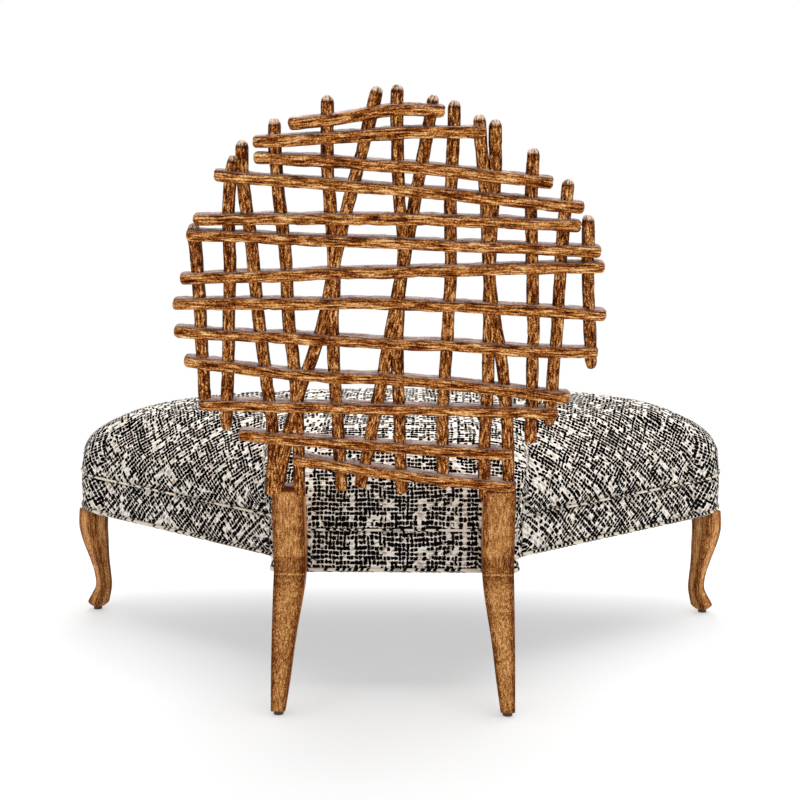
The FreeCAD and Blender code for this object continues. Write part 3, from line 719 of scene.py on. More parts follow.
def smooth_rows(rows: list[tuple[float, ...]], count: int) -> np.ndarray:
    """Draw a smooth line through table rows.

    Args:
        rows: the table, one place a row.
        count: how many rows the answer has.

    Returns:
        The finer table.
    """
    table = np.array(rows, float)
    padded = np.vstack([2 * table[0] - table[1], table, 2 * table[-1] - table[-2]])
    places = np.linspace(0, len(table) - 1, count)
    start = np.minimum(places.astype(int), len(table) - 2)
    t = (places - start)[:, None]
    p0, p1, p2, p3 = (padded[start + k] for k in range(4))
    slope, bend, twist = p2 - p0, 2 * p0 - 5 * p1 + 4 * p2 - p3, 3 * p1 - p0 - 3 * p2 + p3
    return 0.5 * (2 * p1 + slope * t + bend * t**2 + twist * t**3)


def closed_over(rings: np.ndarray, share: float = 0.01) -> np.ndarray:
    """Rings of values with one more ring, drawn in to a share of the last one."""
    middle = rings[-1:].mean(axis=1, keepdims=True)
    return np.concatenate([rings, middle + share * (rings[-1:] - middle)])


def tube_faces(rings: int, sides: int, closed: bool = False, capped: bool = False) -> Faces:
    """Faces between rings of points.

    Args:
        rings: how many rings there are.
        sides: how many points each has.
        closed: whether the last ring joins the first.
        capped: whether the end rings are filled.

    Returns:
        The faces' corner numbers.
    """
    faces = []
    for i in range(rings if closed else rings - 1):
        for j in range(sides):
            a, b = i * sides, (i + 1) % rings * sides
            k = (j + 1) % sides
            faces.append((a + j, a + k, b + k, b + j))
    if capped:
        faces.append(tuple(range(sides)))
        faces.append(tuple((rings - 1) * sides + j for j in range(sides)))
    return faces


@dataclass
class TwigTree:
    """Geometry Nodes that sweep a carved twig along a flat route and lean it to the back's rake."""

    sizes: dict[str, float] = field(
        default_factory=lambda: {
            "Width": 0.0225,
            "Depth": 0.032,
            "Step": 0.0025,
            "Start Tip": 0.009,
            "End Tip": 0.009,
            "Start Blunt": 0.42,
            "End Blunt": 0.42,
            "Waver": 0.0016,
            "Ridge": 0.0016,
            "Groove": 0.0014,
            "Squareness": 5.0,
            "Cap": 0.0,
            "Seed": 0.0,
        }
    )
    swell_pitch: float = 13.0
    swell_range: tuple[float, float] = (0.82, 0.36)
    bend_pitch: float = 8.0
    bend_gain: float = 4.0
    profile_points: int = 22
    rim_edge: tuple[float, float] = (0.78, 0.97)
    seed_gap: float = 1.7
    ridge_scale: tuple[float, float, float] = (16, 150, 150)
    ridge_gain: float = 1.6
    groove_scale: tuple[float, float, float] = (8, 170, 170)
    groove_half: float = 0.045
    groove_darkness: float = 0.42
    cap_fade: float = 0.7
    cap_rim_place: float = 1.2
    cap_rim_edge: tuple[float, float] = (0.0035, 0.0010)

    def __post_init__(self) -> None:
        """Build the tree with its named inputs."""
        self.tree = bpy.data.node_groups.new("carved_twig", "GeometryNodeTree")
        self.tree.is_modifier = True
        sockets = self.tree.interface
        sockets.new_socket(name="Route", in_out="INPUT", socket_type="NodeSocketGeometry")
        for name, value in self.sizes.items():
            socket = sockets.new_socket(name=name, in_out="INPUT", socket_type="NodeSocketFloat")
            socket.default_value = value
        sockets.new_socket(name="Lean", in_out="INPUT", socket_type="NodeSocketFloat")
        sockets.new_socket(name="Foot", in_out="INPUT", socket_type="NodeSocketVector")
        sockets.new_socket(name="Finish", in_out="INPUT", socket_type="NodeSocketMaterial")
        sockets.new_socket(name="Twig", in_out="OUTPUT", socket_type="NodeSocketGeometry")
        self.graph = Graph(self.tree)
        self.given = self.graph.add("NodeGroupInput").outputs
        self.build()

    def store(self, geometry: object, name: str, value: object, kind: str = "FLOAT") -> Socket:
        """Store a named attribute on points."""
        feeds = {"Geometry": geometry, "Name": name, "Value": value}
        kinds = {"data_type": kind, "domain": "POINT"}
        node = self.graph.add("GeometryNodeStoreNamedAttribute", feeds, **kinds)
        return node.outputs["Geometry"]

    def read(self, name: str) -> Socket:
        """Read a stored number back."""
        node = self.graph.add("GeometryNodeInputNamedAttribute", {"Name": name}, data_type="FLOAT")
        return node.outputs["Attribute"]

    def dome(self, distance: object, tip: object, blunt: object) -> Socket:
        """Girth near an end, from the distance to it."""
        g = self.graph
        near = g.math("DIVIDE", distance, tip, clamp=True)
        gap = g.math("SUBTRACT", 1.0, near)
        round_share = g.math("SQRT", g.math("SUBTRACT", 1.0, g.math("MULTIPLY", gap, gap)))
        rest = g.math("SUBTRACT", 1.0, blunt)
        return g.math("MULTIPLY_ADD", rest, round_share, blunt)

    def rail(self) -> tuple[Socket, Socket]:
        """The route in fine steps, wavering a little, and the girth along it."""
        g, given = self.graph, self.given
        feeds = {"Curve": given["Route"], "Length": given["Step"]}
        curve = g.add("GeometryNodeResampleCurve", feeds, mode="LENGTH")
        along = g.add("GeometryNodeSplineParameter").outputs["Length"]
        total = g.add("GeometryNodeSplineLength").outputs["Length"]
        curve = self.store(curve.outputs["Curve"], "along", along)
        start = self.dome(along, given["Start Tip"], given["Start Blunt"])
        end = self.dome(g.math("SUBTRACT", total, along), given["End Tip"], given["End Blunt"])
        place = g.join(g.math("MULTIPLY", along, self.swell_pitch), given["Seed"], 2.0)
        least, gain = self.swell_range
        swell = g.weighted(least, (g.noise(place, None, 3, 0.6), gain))
        girth = g.math("MULTIPLY", g.math("MINIMUM", start, end), swell)
        place = g.join(g.math("MULTIPLY", along, self.bend_pitch), given["Seed"], 5.0)
        bends = g.vector("SUBTRACT", g.noise(place, None, 2, 0.5, True), (0.5, 0.5, 0.5))
        moved = g.scaled(bends, g.math("MULTIPLY", given["Waver"], self.bend_gain))
        feeds = {"Geometry": curve, "Offset": moved}
        curve = g.add("GeometryNodeSetPosition", feeds).outputs["Geometry"]
        curve = g.add("GeometryNodeSetCurveNormal", {"Curve": curve}, mode="Z_UP").outputs["Curve"]
        radius = g.add("GeometryNodeInputRadius").outputs["Radius"]
        return curve, g.math("MULTIPLY", girth, radius)

    def profile(self) -> Socket:
        """A rounded box of the twig's width and depth, with its place across and deep stored."""
        g, given = self.graph, self.given
        feeds = {"Resolution": self.profile_points, "Radius": 1.0}
        ring = g.add("GeometryNodeCurvePrimitiveCircle", feeds).outputs["Curve"]
        x, y, _ = g.split(g.add("GeometryNodeInputPosition").outputs[0])
        power = given["Squareness"]
        total = g.math("ADD", *(g.math("POWER", g.math("ABSOLUTE", p), power) for p in (x, y)))
        swell = g.math("POWER", total, g.math("DIVIDE", -1.0, power))
        half_width, half_depth = (g.math("DIVIDE", given[k], 2.0) for k in ("Width", "Depth"))
        across = g.math("MULTIPLY", g.math("MULTIPLY", x, swell), half_width)
        deep = g.math("MULTIPLY", g.math("MULTIPLY", y, swell), half_depth)
        feeds = {"Geometry": ring, "Position": g.join(across, deep)}
        ring = g.add("GeometryNodeSetPosition", feeds).outputs["Geometry"]
        x, y, _ = g.split(g.add("GeometryNodeInputPosition").outputs[0])
        ring = self.store(self.store(ring, "across", x), "deep", y)
        share = g.math("DIVIDE", g.math("ABSOLUTE", x), half_width)
        return self.store(ring, "rim", g.step(share, *self.rim_edge))

    def relief(self, mesh: object) -> Socket:
        """Carve long ridges and grooves into the swept mesh."""
        g, given = self.graph, self.given
        seeded = g.math("MULTIPLY_ADD", given["Seed"], self.seed_gap, self.read("along"))
        place = g.join(seeded, self.read("across"), self.read("deep"))
        ridge = g.noise(place, self.ridge_scale, 2, 0.5)
        groove = g.distance(g.noise(place, self.groove_scale, 1, 0.5), 0.5)
        groove = g.step(groove, self.groove_half, 0.0)
        high = g.math("MULTIPLY", g.weighted(-1.0, (ridge, 2.0)), given["Ridge"])
        low = g.math("MULTIPLY", groove, given["Groove"])
        lift = g.math("SUBTRACT", g.math("MULTIPLY", high, self.ridge_gain), low)
        offset = g.scaled(g.add("GeometryNodeInputNormal").outputs["Normal"], lift)
        height = g.math("SUBTRACT", ridge, g.math("MULTIPLY", groove, self.groove_darkness))
        mesh = self.store(mesh, "grain", place, "FLOAT_VECTOR")
        mesh = self.store(mesh, "relief", height)
        feeds = {"Geometry": mesh, "Offset": offset}
        return g.add("GeometryNodeSetPosition", feeds).outputs["Geometry"]

    def build(self) -> None:
        """Put the parts of the tree together."""
        g, given = self.graph, self.given
        rail, girth = self.rail()
        feeds = {"Curve": rail, "Profile Curve": self.profile(), "Scale": girth, "Fill Caps": True}
        mesh = self.relief(g.add("GeometryNodeCurveToMesh", feeds).outputs["Mesh"])
        mesh = g.add("GeometryNodeSetShadeSmooth", {"Geometry": mesh}).outputs["Geometry"]
        turn = g.join(given["Lean"], 0.0, 0.0)
        feeds = {"Geometry": mesh, "Translation": given["Foot"], "Rotation": turn}
        mesh = g.add("GeometryNodeTransform", feeds).outputs["Geometry"]
        normal = g.add("GeometryNodeInputNormal").outputs["Normal"]
        has_cap = g.math("GREATER_THAN", given["Cap"], 0.0)
        faded = g.math("MULTIPLY", given["Cap"], self.cap_fade)
        cap = g.math("MULTIPLY", g.step(self.read("along"), given["Cap"], faded), has_cap)
        mesh = self.store(mesh, "cap", cap)
        # How far each point faces up, which places the painted sheen on the topside.
        mesh = self.store(mesh, "upward", g.split(normal)[2])
        middle = g.math("MULTIPLY", given["Cap"], self.cap_rim_place)
        ring = g.step(g.distance(self.read("along"), middle), *self.cap_rim_edge)
        ring = g.math("MULTIPLY", ring, has_cap)
        mesh = self.store(mesh, "rim", g.math("MAXIMUM", self.read("rim"), ring))
        mesh = g.add("GeometryNodeRealizeInstances", {"Geometry": mesh}).outputs["Geometry"]
        feeds = {"Geometry": mesh, "Material": given["Finish"]}
        mesh = g.add("GeometryNodeSetMaterial", feeds).outputs["Geometry"]
        g.add("NodeGroupOutput", {"Twig": mesh})

    def sweep(self, route: bpy.types.Object, values: dict[str, object]) -> bpy.types.Object:
        """Run the tree on a route.

        Args:
            route: a curve that lies in the back's plane.
            values: the tree's inputs, by name.

        Returns:
            The twig as a plain mesh.
        """
        modifier = route.modifiers.new("carved_twig", "NODES")
        modifier.node_group = self.tree
        identifiers = {item.name: item.identifier for item in self.tree.interface.items_tree}
        for name, value in {**self.sizes, **values}.items():
            modifier[identifiers[name]] = value
        return settle(route)


@dataclass
class TwigBack:
    """The round raked back of crossing twigs.

    Routes are rows of shares of the back's width, from its middle, and of its height, from the
    foot of the lattice. Uprights 2, 13 and 14 end in a point.
    """

    width: float = 0.8
    height: float = 0.8
    foot_height: float = 0.4
    rake: float = math.radians(8)
    knee_height: float = 0.26
    setback: float = 0.070
    cross_depth: float = 0.032
    upright_depth: float = 0.024
    upright_width: float = 0.023
    upright_recess: float = 0.006
    pointed: tuple[int, ...] = (2, 13, 14)
    cross_routes: tuple = (
        ((0.230, 0.902), (0.136, 0.912), (-0.018, 0.936), (-0.117, 0.933)),
        ((0.310, 0.863), (0.115, 0.876), (-0.018, 0.885), (-0.210, 0.885)),
        ((0.309, 0.830), (-0.018, 0.809), (-0.361, 0.772)),
        ((0.400, 0.790), (-0.018, 0.756), (-0.432, 0.716)),
        ((0.451, 0.690), (-0.018, 0.690), (-0.426, 0.675)),
        ((0.468, 0.654), (-0.018, 0.635), (-0.473, 0.616)),
        ((0.487, 0.552), (-0.018, 0.569), (-0.483, 0.581)),
        ((0.507, 0.493), (-0.018, 0.494), (-0.491, 0.467)),
        ((0.507, 0.428), (-0.018, 0.399), (-0.155, 0.395), (-0.294, 0.383), (-0.475, 0.378)),
        ((0.487, 0.355), (0.193, 0.321), (-0.018, 0.312), (-0.413, 0.270)),
        ((0.455, 0.250), (-0.018, 0.239), (-0.386, 0.231)),
        ((0.366, 0.174), (-0.018, 0.144), (-0.283, 0.128)),
        ((0.239, 0.112), (-0.018, 0.076), (-0.292, 0.047)),
    )
    upright_routes: tuple = (
        ((0.452, 0.680), (0.446, 0.528), (0.445, 0.387), (0.442, 0.250)),
        ((0.354, 0.832), (0.367, 0.747), (0.375, 0.528), (0.388, 0.303), (0.396, 0.183)),
        (
            (0.335, 0.868), (0.334, 0.765), (0.319, 0.603), (0.311, 0.459),
            (0.296, 0.317), (0.286, 0.150), (0.293, 0.020),
        ),
        (
            (0.261, 0.914), (0.259, 0.790), (0.244, 0.603),
            (0.241, 0.460), (0.228, 0.280), (0.224, 0.014),
        ),
        (
            (0.030, 0.984), (0.067, 0.843), (0.129, 0.603),
            (0.158, 0.460), (0.225, 0.259), (0.282, 0.022),
        ),
        (
            (0.142, 0.965), (0.144, 0.787), (0.134, 0.560),
            (0.140, 0.420), (0.132, 0.230), (0.125, 0.033),
        ),
        ((-0.012, 0.989), (-0.014, 0.760), (-0.026, 0.603), (-0.014, 0.500), (-0.020, 0.024)),
        (
            (-0.093, 0.965), (-0.071, 0.843), (-0.040, 0.665),
            (-0.010, 0.505), (0.031, 0.282), (0.080, 0.040),
        ),
        ((-0.139, 0.954), (-0.132, 0.722), (-0.131, 0.529), (-0.118, 0.235), (-0.117, 0.038)),
        (
            (-0.193, 0.923), (-0.211, 0.722), (-0.227, 0.508),
            (-0.255, 0.341), (-0.268, 0.194), (-0.277, 0.030),
        ),
        (
            (-0.229, 0.912), (-0.230, 0.781), (-0.222, 0.603),
            (-0.222, 0.302), (-0.216, 0.150), (-0.219, 0.006),
        ),
        ((-0.315, 0.848), (-0.313, 0.722), (-0.324, 0.435), (-0.325, 0.155)),
        ((-0.395, 0.778), (-0.383, 0.590), (-0.379, 0.435), (-0.366, 0.195)),
        ((-0.442, 0.698), (-0.449, 0.508), (-0.462, 0.338)),
    )
    route_resolution: int = 24
    upright_seed: float = 20.0
    upright_sizes: dict[str, float] = field(
        default_factory=lambda: {
            "Start Tip": 0.016,
            "Start Blunt": 0.34,
            "Cap": 0.0085,
            "Squareness": 3.2,
            "Ridge": 0.0011,
        }
    )
    pointed_sizes: dict[str, float] = field(
        default_factory=lambda: {"End Tip": 0.020, "End Blunt": 0.22}
    )

    def foot(self) -> Vector:
        """Where the plane of the back's rear faces meets the floor's level along the rake."""
        rise = -self.knee_height
        y = REAR_FEET_Y - self.setback + rise * math.sin(self.rake)
        return Vector((0, y, self.knee_height + rise * math.cos(self.rake)))

    def route(self, name: str, shares: tuple, depth: float) -> bpy.types.Object:
        """Draw a twig's smooth route, flat, at a depth in front of the back's rear plane."""
        curve = bpy.data.curves.new(name, "CURVE")
        curve.dimensions = "3D"
        curve.resolution_u = self.route_resolution
        spline = curve.splines.new("BEZIER")
        spline.bezier_points.add(len(shares) - 1)
        for point, (across, up) in zip(spline.bezier_points, shares):
            point.co = (across * self.width, self.foot_height + up * self.height, depth)
            point.handle_left_type = point.handle_right_type = "AUTO"
        return put(name, curve)

    def grow(self, tree: TwigTree, name: str, route: tuple, look: Look, sizes: dict) -> None:
        """Sweep a twig and put it in place of its node.

        Args:
            tree: what sweeps it.
            name: the node's name.
            route: the twig's route as shares of the back, and the depth of its middle.
            look: its finish.
            sizes: its own inputs of the tree.
        """
        lean = {"Lean": math.pi / 2 - self.rake, "Foot": self.foot()}
        values = {**lean, **sizes, "Finish": look.dress()}
        twig = tree.sweep(self.route(name + "_carved", *route), values)
        install(twig, look, "twig_wood", name)

    def build(self) -> None:
        """Grow the rear layer of cross twigs, then the front layer of uprights."""
        tree = TwigTree()
        depth = self.cross_depth / 2
        for number, shares in enumerate(self.cross_routes, 1):
            sizes = {"Depth": self.cross_depth, "Seed": float(number)}
            self.grow(tree, f"cross_twig_{number:02d}", (shares, depth), Look.CROSS_TWIG, sizes)
        depth = self.upright_recess + self.upright_depth / 2
        girth = {"Width": self.upright_width, "Depth": self.upright_depth}
        for number, shares in enumerate(self.upright_routes, 1):
            sizes = {**self.upright_sizes, **girth, "Seed": self.upright_seed + number}
            if number in self.pointed:
                sizes |= self.pointed_sizes
            self.grow(tree, f"upright_twig_{number:02d}", (shares, depth), Look.UPRIGHT_TWIG, sizes)


@dataclass
class SeatOutline:
    """The fan-shaped outline of the seat, seen from above.

    Lengths run from the line of the rear feet. The crown's own outline is spread towards a
    fuller neck as it rises.
    """

    width: float = 1.492
    front_reach: float = 0.830
    back_setback: float = 0.140
    neck_width: float = 0.490
    neck_length: float = 0.106
    widest_reach: float = 0.714
    rear_corner: float = 0.012
    neck_radius: float = 0.060
    side_corner: float = 0.150
    front_corner: float = 0.070
    crown_neck_width: float = 0.820
    crown_neck_length: float = 0.070
    counts: tuple[int, ...] = (20, 4, 5, 7, 46, 12, 10, 54)

    def corner_middle(self) -> np.ndarray:
        """Middle of the side corner's arc, from the rear-foot line."""
        return np.array([self.width / 2 - self.side_corner, -self.widest_reach])

    def neck_end(self, spread: float) -> np.ndarray:
        """Where the neck meets the side, spread towards the crown's fuller neck."""
        x = self.neck_width / 2 + spread * (self.crown_neck_width - self.neck_width) / 2
        length = self.neck_length + spread * (self.crown_neck_length - self.neck_length)
        return np.array([x, -self.back_setback - length])

    def flare(self, spread: float = 0.0) -> float:
        """Angle of the straight side against the back."""
        gap = self.corner_middle() - self.neck_end(spread)
        return math.atan2(-gap[1], gap[0]) - math.asin(self.side_corner / math.hypot(*gap))

    def half(self, spread: float) -> np.ndarray:
        """The outline's left half, from the back's middle to the front's middle."""
        neck, corner = self.neck_end(spread), self.corner_middle()
        turn = math.pi / 2 - self.flare(spread)
        trim = self.neck_radius * math.tan(turn / 2)
        front = np.array([self.width / 2 - self.front_corner, corner[1]])
        gap = corner[1] + self.front_reach
        bow = (front[0] ** 2 + gap**2 - self.front_corner**2) / 2 / (gap - self.front_corner)
        bow_middle = np.array([0, bow - self.front_reach])
        front_angle = math.atan2(*(front - bow_middle)[::-1])
        rear = np.array([neck[0] - self.rear_corner, -self.back_setback - self.rear_corner])
        arcs = {
            1: (rear, self.rear_corner, math.pi / 2, 0),
            3: (neck + [self.neck_radius, trim], self.neck_radius, math.pi, math.pi + turn),
            5: (corner, self.side_corner, turn, 0),
            6: (front, self.front_corner, 0, front_angle),
            7: (bow_middle, bow, front_angle, -math.pi / 2),
        }
        points = [np.array([[0, -self.back_setback]])]
        rows = {k: self.arc(*arc, self.counts[k]) for k, arc in arcs.items()}
        starts = {
            0: (points[0][0], rows[1][0]),
            2: (rows[1][-1], rows[3][0]),
            4: (rows[3][-1], rows[5][0]),
        }
        for k in range(len(self.counts)):
            if k in starts:
                first, last = starts[k]
                rows[k] = np.linspace(first, last, self.counts[k] + 1)
            points.append(rows[k][1:])
        return np.vstack(points)

    @staticmethod
    def arc(middle: np.ndarray, radius: float, start: float, end: float, count: int) -> np.ndarray:
        """Points of an arc, both ends among them."""
        angles = np.linspace(start, end, count + 1)
        return middle + radius * np.stack([np.cos(angles), np.sin(angles)], 1)

    def ring(self, spread: float = 0.0) -> np.ndarray:
        """The whole outline as a closed row of points in the chair's frame."""
        half = self.half(spread)
        other = half[-2:0:-1] * [-1, 1]
        return np.vstack([half, other]) + [0, REAR_FEET_Y]

    @staticmethod
    def normals(ring: np.ndarray) -> np.ndarray:
        """Outward directions along a closed outline."""
        way = np.roll(ring, -1, 0) - np.roll(ring, 1, 0)
        out = np.stack([-way[:, 1], way[:, 0]], 1)
        return out / np.linalg.norm(out, axis=1)[:, None]

    @staticmethod
    def run(ring: np.ndarray) -> tuple[np.ndarray, float]:
        """Length along a closed outline to each of its points, and the outline's whole length."""
        gaps = np.linalg.norm(np.roll(ring, -1, 0) - ring, axis=1)
        return np.concatenate([[0], np.cumsum(gaps)[:-1]]), gaps.sum()


@dataclass
class Seat:
    """The upholstered seat: crown, side band, welts and trims.

    The crown's table has a share of its height, and how far it is drawn in there across and
    deep. The back table fills it out again behind. A cord is given by its lift above the seam or
    the hem, its radius and how far it stands out.
    """

    outline: SeatOutline = field(default_factory=SeatOutline)
    hem_height: float = 0.243
    seam_height: float = 0.327
    crown_base: float = 0.3295
    crown_height: float = 0.190
    crown_lean: float = 0.010
    crown_centre_y: float = REAR_FEET_Y - 0.640
    band_thickness: float = 0.003
    welt_radius: float = 0.0025
    panel_half_width: float = 0.222
    panel_margin: float = 0.03
    upright_half_width: float = 0.32
    upright_fade: float = 0.12
    crown_table: tuple = (
        (-0.04, 0.004, 0.004),
        (0.00, 0.000, 0.000),
        (0.10, -0.008, -0.005),
        (0.22, -0.008, -0.005),
        (0.40, 0.016, 0.034),
        (0.54, 0.060, 0.124),
        (0.65, 0.118, 0.204),
        (0.75, 0.188, 0.292),
        (0.83, 0.290, 0.400),
        (0.91, 0.420, 0.560),
        (0.96, 0.570, 0.700),
        (0.99, 0.740, 0.800),
        (1.00, 0.900, 0.930),
    )
    back_table: tuple = (
        (0.00, 0.000),
        (0.20, 0.000),
        (0.40, 0.020),
        (0.54, 0.062),
        (0.65, 0.066),
        (0.80, 0.030),
        (1.00, 0.000),
    )
    crown_rings: int = 66
    start_inset: float = 0.002
    flank: tuple[float, float] = (0.18, 0.42)
    flank_turn: float = math.radians(9)
    corner_turn: float = math.radians(35)
    corner_scale: tuple[float, float] = (0.90, 0.66)
    neck_wrap: float = 0.236
    neck_wrap_rise: float = 0.06
    voxel: float = 0.009
    pressure: float = 4.0
    frames: int = 20
    most_swell: float = 0.009
    held_height: float = 0.008
    solver_quality: int = 4
    band_rows: int = 9
    band_bulge: float = 0.0022
    band_sink: float = 0.0004
    cord_sides: int = 10
    seam_cord: tuple[float, float, float] = (0.0008, 0.0024, 0.0014)
    hem_cord: tuple[float, float, float] = (0.0025, 0.0042, 0.0006)
    trim_radius: float = 0.0034
    trim_rows: int = 40
    trim_x: float = 0.1695
    trim_setback: float = 0.1375

    def band_levels(self) -> tuple[float, float]:
        """Levels of the band's lower and upper edge, between both welts."""
        return self.hem_height + 2 * self.welt_radius, self.seam_height - self.welt_radius

    def drop_ways(self) -> np.ndarray:
        """The way the cloth falls over the edge at each column: straight back on the back panel."""
        ring = self.outline.ring()
        ways = self.outline.normals(ring)
        near = np.abs(ring[:, 0]) < self.panel_half_width + self.panel_margin
        ways[near & (ring[:, 1] > self.crown_centre_y)] = (0, 1)
        return ways

    def behind(self, ring: np.ndarray) -> np.ndarray:
        """How far each column belongs to the upright back of the crown, from 0 to 1."""
        inside = self.upright_half_width - np.abs(ring[:, 0])
        share = np.clip(inside / self.upright_fade, 0, 1)
        return np.where(ring[:, 1] > self.crown_centre_y, share**2 * (3 - 2 * share), 0.0)

    def crown_points(self) -> tuple[np.ndarray, np.ndarray, np.ndarray]:
        """Rings of the crown from the seam to its top.

        Returns:
            The rings' points, the same points laid flat as the cloth's own coordinates, and the
            coordinates of the cloth that is wrapped round the far corners and the neck's sides.
        """
        table = smooth_rows(self.crown_table, self.crown_rings)
        rings = []
        for up, across, deep in table:
            ring = self.outline.ring(max(0.0, up) ** 2)
            x = (1 - across) * ring[:, 0]
            fuller = np.interp(up, *np.array(self.back_table).T) * self.behind(ring)
            y = self.crown_centre_y + (1 - deep + fuller) * (ring[:, 1] - self.crown_centre_y)
            z = self.crown_base + up * (self.crown_height - self.crown_lean * x)
            rings.append(np.stack([x, y, z], 1))
        points = np.array(rings)
        flat = np.zeros_like(points)
        flat[-1, :, :2] = points[-1, :, :2]
        ways = self.drop_ways()
        for k in range(len(points) - 2, -1, -1):
            step = points[k] - points[k + 1]
            length = np.linalg.norm(step, axis=1)
            level = np.linalg.norm(step[:, :2], axis=1)
            way = step[:, :2] + np.maximum(length - level, 0)[:, None] * ways
            way /= np.maximum(np.linalg.norm(way, axis=1), TINY)[:, None]
            flat[k, :, :2] = flat[k + 1, :, :2] + way * length[:, None]
        steps = np.linalg.norm(np.diff(points, axis=0), axis=2)
        rise = np.vstack([np.zeros((1, points.shape[1])), np.cumsum(steps, axis=0)])
        return points, self.turned(flat), self.wrapped(rise)

    def turned(self, flat: np.ndarray) -> np.ndarray:
        """Turn the laid cloth a little on both flanks, as it is pulled there."""
        (start, end), slope = self.flank, math.tan(self.flank_turn)
        x, y = flat[..., 0], flat[..., 1]
        share = np.clip((np.abs(x) - start) / (end - start), 0, 1)
        reach = (end - start) * (share**3 - share**4 / 2) + np.maximum(np.abs(x) - end, 0)
        turned = flat.copy()
        turned[..., 0] = x + np.sign(x) * slope * share**2 * (3 - 2 * share) * y
        turned[..., 1] = y - slope * reach
        return turned

    def wrapped(self, rise: np.ndarray) -> np.ndarray:
        """The cloth's coordinates where it is wrapped round a far corner or the neck's side.

        Args:
            rise: length up the cloth from the seam, one column for each point of the outline.

        Returns:
            Place along and across the threads, which lean towards the back's middle as they go
            down, and 1 on the low part of the neck's sides or 0 elsewhere.
        """
        outline = self.outline
        ring = outline.ring()
        neck_end = REAR_FEET_Y - outline.back_setback - outline.neck_length - outline.rear_corner
        neck = (np.abs(ring[:, 0]) > self.neck_wrap) & (ring[:, 1] > neck_end)
        run, whole = outline.run(ring)
        around = np.minimum(run, whole - run)
        up, level = self.corner_scale[0] * rise, self.corner_scale[1] * around
        cos, sin = math.cos(self.corner_turn), math.sin(self.corner_turn)
        low = neck * (rise < self.neck_wrap_rise)
        return np.stack([cos * up + sin * level, cos * level - sin * up, low], -1)

    def shell(self, name: str, points: np.ndarray, inset: float) -> bpy.types.Object:
        """A closed crown shell, drawn in a little all round."""
        rings, columns = points.shape[:2]
        centre = np.array([0, self.crown_centre_y])
        drawn = points.copy()
        gap = drawn[:, :, :2] - centre
        reach = np.linalg.norm(gap, axis=2, keepdims=True)
        drawn[:, :, :2] = centre + gap * (1 - inset / np.maximum(reach, 3 * inset))
        height = (drawn[:, :, 2] - self.crown_base) * (1 - inset / self.crown_height)
        drawn[:, :, 2] = self.crown_base + height
        return new_mesh(name, drawn.reshape(-1, 3), tube_faces(rings, columns, capped=True))

    def swell(self, crown: bpy.types.Object) -> None:
        """Blow the crown up with the cloth solver, held at the seam, and cap how far it moves."""
        rest = np.array([v.co for v in crown.data.vertices])
        held = crown.vertex_groups.new(name="held")
        low = [i for i, p in enumerate(rest) if p[2] < self.crown_base + self.held_height]
        held.add(low, 1.0, "REPLACE")
        cloth = crown.modifiers.new("cloth", "CLOTH")
        cloth.settings.vertex_group_mass = "held"
        cloth.settings.use_pressure = True
        cloth.settings.uniform_pressure_force = self.pressure
        cloth.settings.effector_weights.gravity = 0
        cloth.settings.quality = self.solver_quality
        for number in range(1, self.frames + 1):
            bpy.context.scene.frame_set(number)
        graph = bpy.context.evaluated_depsgraph_get()
        moved = np.array([v.co for v in crown.evaluated_get(graph).data.vertices])
        crown.modifiers.remove(cloth)
        bpy.context.scene.frame_set(1)
        step = moved - rest
        length = np.linalg.norm(step, axis=1)
        share = np.minimum(1.0, self.most_swell / np.maximum(length, TINY))
        crown.data.vertices.foreach_set("co", (rest + step * share[:, None]).ravel())
        log.info("crown swelled by %.1f mm at most before the cap", 1000 * length.max())

    def lay_weave(
        self, crown: bpy.types.Object, points: np.ndarray, cloths: dict[str, np.ndarray]
    ) -> None:
        """Give every point of the crown the cloth coordinates of the drawn crown's nearest place.

        Args:
            crown: the crown's mesh object.
            points: rings of the drawn crown.
            cloths: each set of cloth coordinates at those rings, by attribute name.
        """
        rings, columns = points.shape[0] + 1, points.shape[1]
        places = [Vector(p) for p in closed_over(points).reshape(-1, 3)]
        faces = []
        for a, b, c, d in tube_faces(rings, columns):
            faces += [(a, b, c), (a, c, d)]
        tree = BVHTree.FromPolygons(places, faces)
        nearest = [tree.find_nearest(vertex.co) for vertex in crown.data.vertices]
        for name, cloth in cloths.items():
            laid = [Vector(p) for p in closed_over(cloth).reshape(-1, 3)]
            weave = np.zeros((len(nearest), 3))
            for i, (spot, _, index, _) in enumerate(nearest):
                drawn, flat = ([row[k] for k in faces[index]] for row in (places, laid))
                weave[i] = barycentric_transform(spot, *drawn, *flat)
            store(crown, name, weave)

    def make_crown(self) -> None:
        """The padded crown, swelled and woven."""
        points, flat, wrapped = self.crown_points()
        crown = self.shell("seat_crown", points, self.start_inset)
        remesh = crown.modifiers.new("even", "REMESH")
        remesh.mode = "VOXEL"
        remesh.voxel_size = self.voxel
        crown = settle(crown)
        self.swell(crown)
        finer = crown.modifiers.new("finer", "SUBSURF")
        finer.levels = finer.render_levels = 1
        crown = settle(crown)
        shade_smooth(crown.data)
        self.lay_weave(crown, points, {"weave": flat, "wrapped": wrapped})
        install(crown, Look.WEAVE, "woven_fabric", "seat_cover", "seat_foam")

